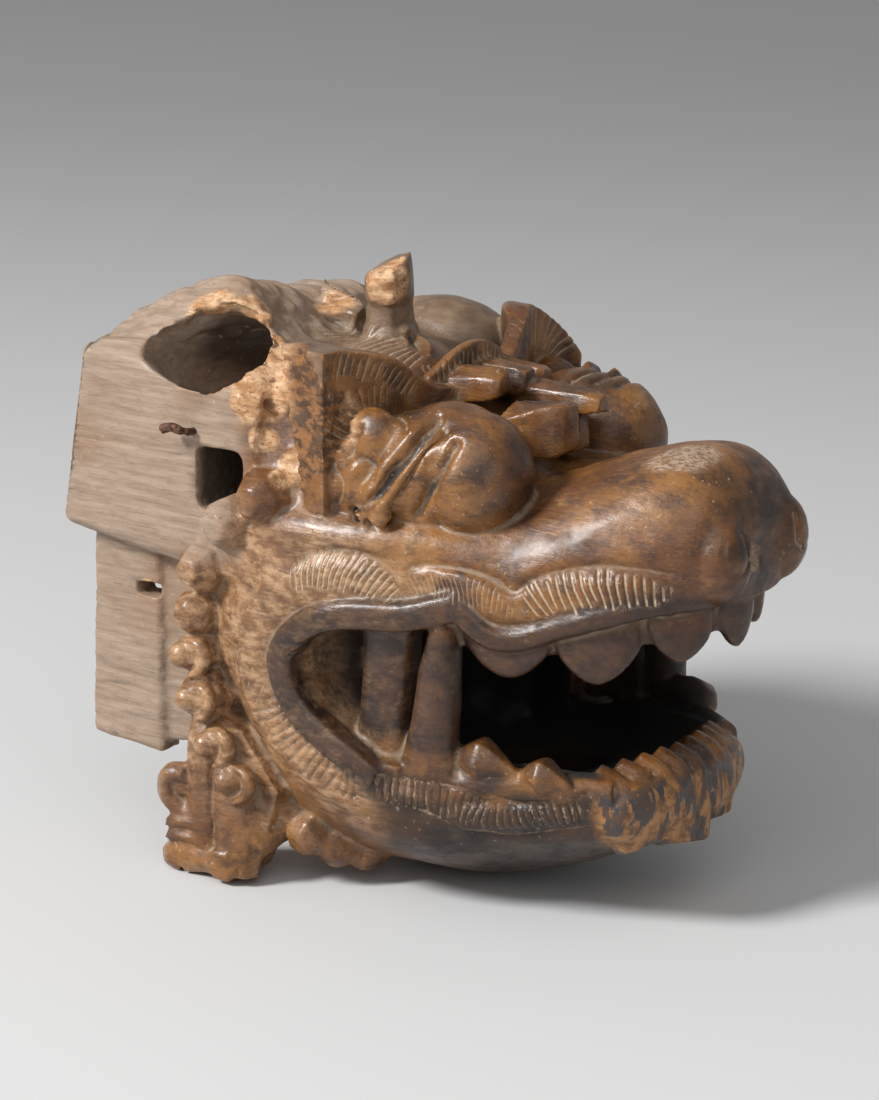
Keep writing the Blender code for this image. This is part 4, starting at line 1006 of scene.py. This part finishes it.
for path, wide, out, spacing in UPRIGHT:
    hatch(path, wide, np.array(out), 0.1, 0.8, spacing, 0.5, 1.6)
# three long folds over the eye of the +X side
for k in range(3):
    fold = np.array([(30 + 4 * k, -14 - 9 * k, 193), (42 + 3 * k, -16 - 7 * k, 193 - 1.5 * k),
                     (56 + 2 * k, -14 - 6 * k, 186 - k), (66, -6 - 5 * k, 174 - k)])
    engrave(fold, 1.5, 2.2)
print("cuts reach", int((cut_mask > 0.1).sum()), "points; the deepest line is", round(sunk.max(), 1))

# %% [markdown]
# ## Breaks, grain and cracks
# Raw breaks show torn fibres, so they get strong noise drawn out along the grain. The dry block
# has fine ridges of grain, its roof has split into splinters, and its sawn back keeps the marks
# of the saw. Everywhere else the knife leaves broad shallow facets. All of it is one number for
# each point, the relief, by which the point moves out along its normal.

# %% Breaks, grain and cracks
# balls (x, y, z, radius) round the raw breaks
BREAKS = [
    (-73, 33, 190, 22), (-70, 40, 205, 16), (-72, 42, 172, 12), (-66, 62, 196, 14),
    (-55, 70, 207, 14), (-66, 112, 216, 10), (-58, 96, 224, 15), (-50, 78, 224, 12),
    (-12, 43, 233, 11), (-6, 44, 241, 6), (-4, 74, 221, 9), (-72, 56, 180, 8), (-61, 124, 107, 4),
]
raw = np.clip(patch(points, BREAKS, 0.25) * 1.3 - 0.25 + 0.35 * grit(points, 5, 8), 0, 1)
raw *= patch(points, BREAKS, 0.2) > 0
dry = ramp(points[:, 1], 60, 74) * ramp(points[:, 2], 124, 134)
dry = np.maximum(dry, ramp(points[:, 1], 95, 101))
# painted shade inside the mouth: what faces the line along its middle
zero = 0 * points[:, 0]
middle = np.stack([zero, np.clip(points[:, 1], -75, -5), zero + 95], axis=-1)
inward = ((middle - points) * normals).sum(1)
painted_mouth_shade = ramp(inward, 0, 6) * ramp(-np.abs(points[:, 0]), -64, -44) * ramp(points[:, 1], -86, -76)
painted_mouth_shade *= ramp(-points[:, 1], -46, -36) * ramp(points[:, 2], 36, 42) * ramp(-points[:, 2], -134, -126)
fibre = grit(points, (1.6, 16, 1.6), 1) + 0.6 * grit(points, (0.9, 9, 0.9), 2)
torn = 1.2 * grit(points, (3.5, 9, 3.5), 4) + 0.7 * grit(points, (1.8, 4, 1.8), 5)
knife = 0.38 * grit(points, 11, 6) + 0.16 * grit(points, 4, 7)
splinter = grit(points, (5, 44, 4), 9) + 0.4 * grit(points, (2, 20, 2), 10)
roof = ramp(points[:, 2], 200, 210) * ramp(points[:, 1], 56, 66)
relief = knife * (1 - raw) - sunk + dry * 0.28 * fibre * (1 - raw) + raw * torn
relief += roof * (splinter * 1.5 - 0.9)
sawn = (np.abs(limit - points[:, 1]) < 0.05) & above
SAW_PITCH = 3.2
saw_height = points[:, 2] + 0.12 * points[:, 0] + 1.2 * grit(points, (50, 50, 12), 50)
saw_line = np.sin(2 * math.pi * saw_height / SAW_PITCH)
relief[sawn] = (-0.38 + 0.2 * saw_line + 0.14 * grit(points, 1.8, 51))[sawn]
relief[points[:, 2] < 1.0] = 0.0
points = points + normals * relief[:, None]
points[:, 2] = np.maximum(points[:, 2], 0.0)
low, high = (np.array(corner) / MM - SHIFT for corner in CAD_BOX)
points = np.clip(points, low, high)
head.data.vertices.foreach_set("co", (points * MM).astype(np.float32).ravel())
head.data.update()
normals = normals_of(head.data)
print("the relief goes from", round(relief.min(), 2), "to", round(relief.max(), 2), "mm")

# %% [markdown]
# ## Where dust lies and shade is painted
# Dust gathers in hollows and is rubbed off edges, and the deeper and the widest hollows get painted shade.
# A point lies in a hollow if the average of its neighbours lies further out along its normal. Averaging
# over more rounds finds wider hollows.

# %% Where dust lies and shade is painted
NARROW_ROUNDS, WIDER_ROUNDS, WIDEST_ROUNDS = 6, 14, 40
smooth = averaged(points, edges, NARROW_ROUNDS)
hollow = ((smooth - points) * normals).sum(1)
wider = averaged(smooth, edges, WIDER_ROUNDS)
hollow = hollow + 0.5 * ((wider - points) * normals).sum(1)
widest = averaged(wider, edges, WIDEST_ROUNDS)
# painted shade: how far a point lies in one of the widest hollows
wide_hollow_shade = ramp(((widest - points) * normals).sum(1), 0.5, 2.6)
print("hollowness from", round(hollow.min(), 2), "to", round(hollow.max(), 2))

# %% [markdown]
# ## Zones of wear and painted shade
# Hands and polish have darkened the muzzle, the eyes, the lips and the teeth, dust has paled the
# jowls and the hollows between the brows, and the beard is worn down to bare wood in streaks.
# The lower front of the jaw and the depths of the holes get painted shade. Each zone is a number from 0 to
# 1 at each point, with an uneven edge.

# %% Zones of wear and painted shade
def uneven_ramp(values, low, high, size=14, seed=20, much=0.4):
    """A ramp whose edge wanders by much times its width, in blobs of the given size."""
    return ramp(values + much * (high - low) * grit(points, size, seed), low, high)


def near_line(path, reach):
    """1 near a line, falling to 0 at reach from it."""
    near = np.zeros(len(points))
    rows, _, offset, _, _ = beside(points, path, reach)
    near[rows] = 1 - ramp(np.linalg.norm(offset, axis=1) / reach, 0.75, 1)
    return near


polish = patch(points, [
    (0, -118, 154, 42), (-50, -38, 176, 20), (46, -32, 168, 21), (0, -22, 196, 24), (-50, -10, 194, 22),
    (46, -18, 186, 20),
], 0.45)
polish = np.clip(polish + 0.3 * grit(points, 9, 21) - 0.1, 0, 1)
deep = np.zeros(len(points))
for side in (-1, 1):
    deep = np.maximum(deep, near_line(sided(RIM, side), 8.5))
    deep = np.maximum(deep, near_line(sided(UPPER_LIP, side), 7.5))
teeth = ramp(points[:, 2], 92, 100) * ramp(-points[:, 2], -128, -120) * ramp(-points[:, 1], 24, 30)
posts = patch(points, [(-62, -19, 92, 29), (-60, 5, 94, 28), (60, -40, 90, 30), (60, 5, 94, 28)], 0.2)
molar_balls = [(side * 58, -36, 74, 15) for side in (-1, 1)]
molar_balls += [(side * 54, -62, 70, 12) for side in (-1, 1)]
molars = patch(points, molar_balls)
deep = np.maximum.reduce([deep, teeth, posts, 0.6 * molars])
pale = uneven_ramp(points[:, 1], -35, 28, 16, 22) * uneven_ramp(-points[:, 2], -170, -140, 16, 23)
pale *= uneven_ramp(points[:, 2], 10, 60, 16, 24)
dusty = uneven_ramp(points[:, 1], 22, 30, 8, 25) * uneven_ramp(points[:, 2], 186, 200, 10, 26)
worn = patch(points, [(-12, -97, 185, 13), (-18, -90, 183, 8), (-9, -126, 150, 7)], 0.2)
worn = ramp(worn + 0.6 * grit(points, 5, 30), 0.45, 0.75)
beard = ramp(-points[:, 1], 78, 83) * ramp(-points[:, 2], -62, -57)
# painted shade: darker towards the bottom and the front of the lower jaw
low = uneven_ramp(-points[:, 1], -22, 22, 16, 27) * uneven_ramp(-points[:, 2], -70, -50, 12, 28, 0.7)
aged = patch(points, [(-76, 30, z, 18) for z in range(160, 222, 10)], 0.35)
# painted shade in the depths of the mortises, of the sockets and of the mouth's corners
recess_shade = np.zeros(len(points))
for side in (-1, 1):
    mortise_depth = ramp(-side * points[:, 0], -BLOCK_HALF + 1, -BLOCK_HALF + 6)
    square = patch(points[:, [1, 2, 2]] * (1, 1, 0), [(78, 160, 0, 17)], 0.05) * (side * points[:, 0] > 30)
    inside = patch(points, [(side * 48, 88, 196, 26), (side * 38, 87, 188, 22)], 0.2)
    back_of_mouth = [(side * 62, y, z, 15) for y, z in ((12, 106), (26, 98), (26, 84), (14, 74))]
    inside = np.maximum(inside, 0.6 * patch(points, back_of_mouth, 0.2) * (np.abs(points[:, 0]) < 71))
    recess_shade = np.maximum.reduce([recess_shade, mortise_depth * square, inside])
print("share dark with use:", round(float((deep > 0.5).mean()), 2))

# %% [markdown]
# ## Zones kept, and a lighter mesh
# The finish can't see which point is which, so each zone is written on the mesh as a named
# attribute. The mesh is then thinned: collapsed edges leave few triangles where the wood is
# smooth and many where it is cut.

# %% Zones kept, and a lighter mesh
zones = {
    "raw": raw, "dry": dry, "painted_mouth_shade": painted_mouth_shade, "hollow": hollow, "cut_step": cut_step,
    "cut_mask": cut_mask, "polish": polish, "deep": deep, "pale": pale, "dusty": dusty,
    "beard": beard, "low": low, "aged": aged, "recess_shade": recess_shade, "worn": worn, "wide_hollow_shade": wide_hollow_shade,
}
for name, values in zones.items():
    column = head.data.attributes.new(name, "FLOAT", "POINT")
    column.data.foreach_set("value", values.astype(np.float32))
triangles = 2 * len(head.data.polygons)
print("thinned to", finished(head, "DECIMATE", ratio=min(1.0, MOST_TRIANGLES / triangles)), "points")
head.data.transform(Matrix.Translation(Vector(SHIFT) * MM))
head.data.polygons.foreach_set("use_smooth", np.ones(len(head.data.polygons), bool))
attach(head, "root")
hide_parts("barong_head")

# %% [markdown]
# ## The bent nail
# An iron nail with a crumpled head, driven into the block and bent over. It is a tube along a
# bent line that grows towards the head, and noise crumples what stands out of the wood.

# %% The bent nail
NAIL = [
    (-64, 90.3, 178.3), (-70, 90.3, 178.3), (-74.5, 90.3, 178.4),
    (-78, 91.5, 179.6), (-79.5, 95, 180.6), (-79.8, 99, 179.5),
]
NAIL_WIDE, NAIL_DEEP = [1.3, 1.3, 1.5, 1.7, 2.0, 2.5], [1.3, 1.3, 1.5, 1.6, 1.6, 1.9]
shank, nail_faces = sweep(NAIL, NAIL_WIDE, NAIL_DEEP, (0, 0, 1), 20, 0.35)
outside = ramp(-shank[:, 0], 73, 76)[:, None]
crumple = np.stack([0 * shank[:, 0], grit(shank, 2.5, 40), grit(shank, 2, 41)], axis=1)
shank = shank + outside * 0.5 * crumple
nail = piece("rusty_nail", [(shank, nail_faces)])
nail.data.transform(Matrix.Translation(Vector(SHIFT) * MM))
nail.data.polygons.foreach_set("use_smooth", np.ones(len(nail.data.polygons), bool))
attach(nail, "root")
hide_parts("bent_nail")
print("nail:", len(nail.data.vertices), "points")


# %% [markdown]
# ## Finishes
# A finish is a small tree of nodes: patterns with a real size in millimetres, the zones kept on
# the mesh, and colours laid over one another. Colours are given as sRGB hex and turned to linear
# light. One small function adds a node; the other two are steps of the finisher's work.

# %% Finishes
SOFT = {"interpolation_type": "SMOOTHSTEP"}


def linear(hex_colour):
    """sRGB hex to linear: ((c + 0.055) / 1.055) ^ 2.4, or c / 12.92 for a dark channel."""
    parts = [int(hex_colour[i : i + 2], 16) / 255 for i in (1, 3, 5)]
    return (*[c / 12.92 if c <= 0.04045 else ((c + 0.055) / 1.055) ** 2.4 for c in parts], 1.0)


def add(tree, kind, inputs=(), out=0, **settings):
    """Adds a node and gives one of its outputs. The inputs come in the order of its sockets or
    by name, and each is a number, a colour, or a socket to link from."""
    node = tree.nodes.new("ShaderNode" + kind)
    for key, value in settings.items():
        setattr(node, key, value)
    for key, value in (inputs if isinstance(inputs, dict) else dict(enumerate(inputs))).items():
        if isinstance(value, bpy.types.NodeSocket):
            tree.links.new(value, node.inputs[key])
        else:
            node.inputs[key].default_value = value
    return node.outputs[out]


def laid(under, over, where=None, low=0, high=1, least=0, most=1, inside=None):
    """One colour laid over another. The share of the upper one goes smoothly from least to most
    while the pattern goes from low to high, times inside where that is given."""
    share = inside
    if where is not None:
        share = add(tree, "MapRange", (where, low, high, least, most), **SOFT)
        if inside is not None:
            share = add(tree, "Math", (share, inside), operation="MULTIPLY")
    lower, upper = (linear(tone) if isinstance(tone, str) else tone for tone in (under, over))
    return add(tree, "Mix", {0: share, 6: lower, 7: upper}, 2, data_type="RGBA")


def pattern(size_mm, detail=4.0, stretch=(1, 1, 1), rough=0.55):
    """Noise whose blobs are about size_mm across, drawn out along each axis by stretch."""
    scale = [1 / s for s in stretch]
    moved = add(tree, "Mapping", {"Vector": place, "Scale": scale})
    inputs = {"Vector": moved, "Scale": 1000 / size_mm, "Detail": detail, "Roughness": rough}
    return add(tree, "TexNoise", inputs, "Fac")


def new_finish(name):
    """An empty material: its tree, and the socket that takes its surface."""
    made = bpy.data.materials.new(name)
    made.use_nodes = True
    made.node_tree.nodes.remove(made.node_tree.nodes["Principled BSDF"])
    return made, made.node_tree, made.node_tree.nodes["Material Output"].inputs["Surface"]


print("a mid grey of #808080 is", round(linear("#808080")[0], 3), "in linear light")

# %% [markdown]
# ## Old carved hardwood: its patterns
# The wood is a dense hardwood, cut with knives and gouges, oiled and handled for a long time.
# That gives the eye a warm uneven brown with a soft shine, fine lines along the grain, which
# runs along Y, and dull grey where the wood was never oiled. The patterns go from clouds of 46
# mm down to pores of about 1 mm, which are drawn coarser than real pores so that they show.

# %% Old carved hardwood: its patterns
wood, tree, surface = new_finish("old_carved_hardwood")
place = add(tree, "TexCoord", out="Object")
zone = {name: add(tree, "Attribute", out="Fac", attribute_name=name) for name in zones}
broad, middle = pattern(46, 4, rough=0.6), pattern(13, 6, (1, 1.6, 1), 0.65)
small, fine = pattern(4.5, 6, (1, 1.7, 1), 0.7), pattern(1.3, 4, (1, 2, 1), 0.7)
grain = pattern(0.9, 4, (1, 18, 1), 0.6)
streak = pattern(3, 6, (1, 12, 1), 0.65)
lock_streak = pattern(9, 5, (0.7, 1.0, 2.6), 0.6)
print("zones read by the wood:", len(zone))

# %% [markdown]
# ## Old carved hardwood: its colours
# Colour is laid on roughly in the order in which the head got it. First the brown of oil and hands, pale
# on the dusty jowls, nearly black on lips and teeth, with painted shade low on the jaw. Then the beard
# with its old paint, the dry block, and last the dust, the painted shade in hollows and the raw breaks,
# which lie over everything.

# %% Old carved hardwood: its colours
brown = laid("#603A1E", "#86592A", broad, 0.38, 0.62)
brown = laid(brown, "#3A2114", middle, 0.47, 0.66, 0, 0.85)
brown = laid(brown, "#A27B4E", middle, 0.25, 0.43, 0.6, 0)
brown = laid(brown, "#3F2717", small, 0.5, 0.68, 0, 0.6)
paled = laid("#AE8A68", "#775536", small, 0.4, 0.6)
brown = laid(brown, paled, streak, 0.3, 0.62, 0.15, 1.0, zone["pale"])
brown = laid(brown, "#94693A", grain, 0.5, 0.75, 0, 0.4)
brown = laid(brown, "#2E1B11", grain, 0.28, 0.45, 0.45, 0)
# painted shade low on the front of the lower jaw
brown = laid(brown, laid("#3C2513", "#1E120C", middle, 0.35, 0.65), inside=zone["low"])
darkened = laid("#22150F", "#452B1C", middle, 0.35, 0.65)
brown = laid(brown, darkened, small, 0.35, 0.6, 0.75, 1.0, zone["deep"])
rubbed = laid("#5F3A1F", "#241711", middle, 0.33, 0.58)
brown = laid(brown, rubbed, broad, 0.3, 0.55, 1.0, 0.75, zone["polish"])
brown = laid(brown, laid("#A58C74", "#6F5542", fine, 0.4, 0.6), inside=zone["worn"])
dusted = laid("#5C4735", "#806A54", middle, 0.35, 0.65)
brown = laid(brown, dusted, streak, 0.3, 0.6, 0.5, 0.95, zone["dusty"])
# the beard: bare tan wood in slanting streaks between patches of blue-black paint
beard_wood = laid("#3C3A3B", "#A1713F", lock_streak, 0.48, 0.53)
beard_wood = laid(beard_wood, "#5C3A20", small, 0.42, 0.6, 0, 0.75)
brown = laid(brown, beard_wood, inside=zone["beard"])
# the dry block: grey-brown, with finer and darker lines along the grain
grey = laid("#88725F", "#9F8A78", streak, 0.3, 0.7)
grey = laid(grey, "#705C4C", small, 0.5, 0.7, 0, 0.4)
grey = laid(grey, "#5E4E42", grain, 0.5, 0.75, 0, 0.5)
grey = laid(grey, "#86674C", broad, 0.5, 0.66, 0, 0.5)
# raw breaks: light fibres, stained where the break is old, with painted shade in each tear
torn_wood = laid("#AD8058", "#D0AC86", streak, 0.38, 0.62)
torn_wood = laid(torn_wood, "#94653D", small, 0.48, 0.62, 0, 0.7)
torn_wood = laid(torn_wood, "#5E3A20", fine, 0.5, 0.7, 0, 0.7)
old_break = laid("#875B34", "#47301C", small, 0.42, 0.58)
torn_wood = laid(torn_wood, old_break, inside=zone["aged"])
torn_wood = laid(torn_wood, "#55351D", zone["hollow"], 0.15, 0.9, 0, 0.8)
print("colours laid so far use", len(tree.nodes), "nodes")

# %% [markdown]
# ## Old carved hardwood: dust, cuts and painted shade
# Edges are rubbed to lighter wood, hollows hold dust, and painted shade darkens the deeper hollows, the
# holes and the inside of the mouth. Each short knife cut is a pale line, because dust stays in it. The
# cut's line is where the kept step number is near a half.

# %% Old carved hardwood: dust, cuts and painted shade
recess_shade_share = add(tree, "Math", (zone["recess_shade"], 0.8), operation="MULTIPLY")
edge = add(tree, "MapRange", (zone["hollow"], -1.0, -0.35, 0.5, 0), **SOFT)
part_step = add(tree, "Math", (zone["cut_step"],), operation="FRACT")
off_middle = add(tree, "Math", (part_step, 0.5), operation="SUBTRACT")
off_middle = add(tree, "Math", (off_middle,), operation="ABSOLUTE")
cut_line = add(tree, "MapRange", (off_middle, 0.07, 0.22, 1, 0), **SOFT)
cut_line = add(tree, "Math", (cut_line, zone["cut_mask"]), operation="MULTIPLY")
dust_here = add(tree, "MapRange", (zone["hollow"], 0.2, 0.7), **SOFT)
speck = add(tree, "MapRange", (pattern(2.4, 2), 0.64, 0.74), **SOFT)
on_deep = add(tree, "MapRange", (zone["deep"], 0, 1, 1, 0.2), **SOFT)
speck = add(tree, "Math", (speck, on_deep), operation="MULTIPLY")
colour = laid(brown, grey, inside=zone["dry"])
# painted shade in the depths of the holes
colour = laid(colour, "#2B231D", inside=recess_shade_share)
colour = laid(colour, "#A4703A", middle, 0.35, 0.6, inside=edge)
colour = laid(colour, "#9A8268", small, 0.35, 0.6, 0.2, 0.9, dust_here)
# painted shade in the deeper hollows
colour = laid(colour, "#2A1E17", zone["hollow"], 0.55, 1.5, 0, 0.85)
# painted shade in the widest hollows
colour = laid(colour, "#2E2018", middle, 0.3, 0.6, 0.5, 0.9, zone["wide_hollow_shade"])
colour = laid(colour, torn_wood, inside=zone["raw"])
colour = laid(colour, "#B49E84", fine, 0.3, 0.6, 0.5, 1.0, cut_line)
colour = laid(colour, "#B9A287", broad, 0.45, 0.6, 0, 0.5, speck)
# painted shade: the inside of the mouth is laid nearly black
colour = laid(colour, "#14100D", inside=zone["painted_mouth_shade"])
print("the whole colour uses", len(tree.nodes), "nodes")

# %% [markdown]
# ## Old carved hardwood: shine and pores
# Handled wood is fairly smooth, and torn, dry and dusty wood scatters light. Each row changes
# the roughness, or sets the least that it may have. The thin coat is old oil. The bump is only
# pores, grain and the sharp middle of each cut; every larger form is in the mesh.

# %% Old carved hardwood: shine and pores
gloss = add(tree, "MapRange", (zone["hollow"], -0.5, 0.3, 0.25, 0.5), **SOFT)
for way, where, *levels in (
    ("ADD", small, 0.35, 0.65, -0.08, 0.14),
    ("MAXIMUM", zone["worn"], 0, 1, 0.0, 0.7),
    ("SUBTRACT", add(tree, "Math", (zone["polish"], 0.08), operation="MULTIPLY")),
    ("ADD", middle, 0.4, 0.7, -0.03, 0.12),
    ("MAXIMUM", zone["dry"], 0, 1, 0.0, 0.74),
    ("MAXIMUM", zone["raw"], 0, 1, 0.0, 0.9),
    ("MAXIMUM", zone["painted_mouth_shade"], 0, 1, 0.0, 0.95),
):
    amount = add(tree, "MapRange", (where, *levels), **SOFT) if levels else where
    gloss = add(tree, "Math", (gloss, amount), operation=way)
height = 0.0
for where, much in ((grain, 0.6), (fine, 0.6), (small, 1.2), (cut_line, -1.6)):
    lift = add(tree, "Math", (where, much), operation="MULTIPLY")
    height = add(tree, "Math", (height, lift), operation="ADD")
pores = add(tree, "Bump", {"Height": height, "Strength": 0.45, "Distance": 0.0006})
shader = add(tree, "BsdfPrincipled", {
    "Base Color": colour, "Roughness": gloss, "Normal": pores, "IOR": 1.5, "Coat Weight": 0.15,
    "Coat Roughness": 0.22,
})
tree.links.new(shader, surface)
head.data.materials.clear()
head.data.materials.append(wood)
print("wood:", len(tree.nodes), "nodes")

# %% [markdown]
# ## Rusty wrought iron
# The nail was forged by hand and has rusted: dark iron under brown rust, pitted and dull, so it
# is only half metallic.

# %% Rusty wrought iron
iron, tree, surface = new_finish("rusty_wrought_iron")
place = add(tree, "TexCoord", out="Object")
rust = laid("#3A2A24", "#7A5240", pattern(1.5, 4), 0.4, 0.65)
pits = add(tree, "Bump", {"Height": pattern(0.6, 3), "Strength": 0.6, "Distance": 0.0003})
iron_look = {"Base Color": rust, "Roughness": 0.7, "Metallic": 0.5, "Normal": pits}
tree.links.new(add(tree, "BsdfPrincipled", iron_look), surface)
nail.data.materials.clear()
nail.data.materials.append(iron)
print("iron:", len(tree.nodes), "nodes")

# %% [markdown]
# ## Floor
# A wide flat sheet of matt background paper, pale near the head and greyer far behind it. The
# grey follows the camera's direction of view along the floor, as a photographer's light falls off.

# %% Floor
PAPER_HALF = 8.0
VIEW_ALONG = (0.8090, 0.5878, 0)


def sheet(name, half):
    """A flat square sheet on the floor: four corners at plus and minus half."""
    mesh = bpy.data.meshes.new(name)
    corners = [(-half, -half, 0), (half, -half, 0), (half, half, 0), (-half, half, 0)]
    mesh.from_pydata(corners, [], [(0, 1, 2, 3)])
    made = bpy.data.objects.new(name, mesh)
    bpy.context.scene.collection.objects.link(made)
    return made


floor = sheet("paper_sheet", PAPER_HALF)
paper, tree, surface = new_finish("matt_background_paper")
place = add(tree, "TexCoord", out="Object")
away = add(tree, "VectorMath", (place, VIEW_ALONG), "Value", operation="DOT_PRODUCT")
tone = laid("#C9C9C9", "#9C9C9C", away, -0.3, 2.0)
tree.links.new(add(tree, "BsdfPrincipled", {"Base Color": tone, "Roughness": 0.9}), surface)
floor.data.materials.append(paper)
print("paper sheet,", 2 * PAPER_HALF, "m wide")

# %% [markdown]
# ## Light
# One soft round light stands high behind the head, on the side that the camera sees. It gives the
# shine along the lips and the shadow on the picture's right. A weak broad fill above the camera
# and an even grey world open the shadows.

# %% Light
KEY_POWER, FILL_POWER, WORLD_LIGHT = 182, 9, 0.37


def area_light(name, place, aim, size, power):
    """A round white light of a size in metres and a power in watts, turned from place to aim."""
    data = bpy.data.lights.new(name, "AREA")
    data.shape, data.size, data.energy = "DISK", size, power
    made = bpy.data.objects.new(name, data)
    made.location = place
    made.rotation_mode = "QUATERNION"
    made.rotation_quaternion = (Vector(aim) - Vector(place)).to_track_quat("-Z", "Y")
    bpy.context.scene.collection.objects.link(made)
    return made


area_light("key", (-2.6, 1.5, 2.5), (0, 0, 0.12), 1.0, KEY_POWER)
area_light("fill", (-1.3, -0.9, 1.5), (0, 0, 0.1), 1.8, FILL_POWER)
world = bpy.context.scene.world or bpy.data.worlds.new("studio")
bpy.context.scene.world = world
world.use_nodes = True
world.node_tree.nodes["Background"].inputs["Color"].default_value = (1, 1, 1, 1)
world.node_tree.nodes["Background"].inputs["Strength"].default_value = WORLD_LIGHT
bpy.context.scene.view_settings.view_transform = "Standard"
print("lights:", KEY_POWER, "W and", FILL_POWER, "W")

# %% [markdown]
# ## Camera
# The camera stands where the photograph was taken from: in front of the head, on its own right
# side and a little above it. The direction, the distance and the lens were fitted to the
# photograph. What a lens shows follows from its focal length in pixels against the height of the
# picture.

# %% Camera
DISTANCE, FOCAL_PIXELS, PICTURE_TALL, SENSOR = 1500.0, 3750.0, 1100.0, 36.0
AIM_AT = (16.124, 37.178, 118.571)
TO_CAMERA = np.array((-0.77610, -0.56387, 0.28234))
lens = bpy.data.cameras.new("camera")
lens.sensor_width = SENSOR
lens.lens = SENSOR * FOCAL_PIXELS / PICTURE_TALL
camera = bpy.data.objects.new("camera", lens)
camera.location = (np.array(AIM_AT) + SHIFT) * MM + TO_CAMERA * DISTANCE * MM
camera.rotation_mode = "QUATERNION"
camera.rotation_quaternion = (-Vector(TO_CAMERA)).to_track_quat("-Z", "Y")
bpy.context.scene.collection.objects.link(camera)
bpy.context.scene.camera = camera
print("camera at", [round(v, 3) for v in camera.location], "m, lens", round(lens.lens, 1), "mm")
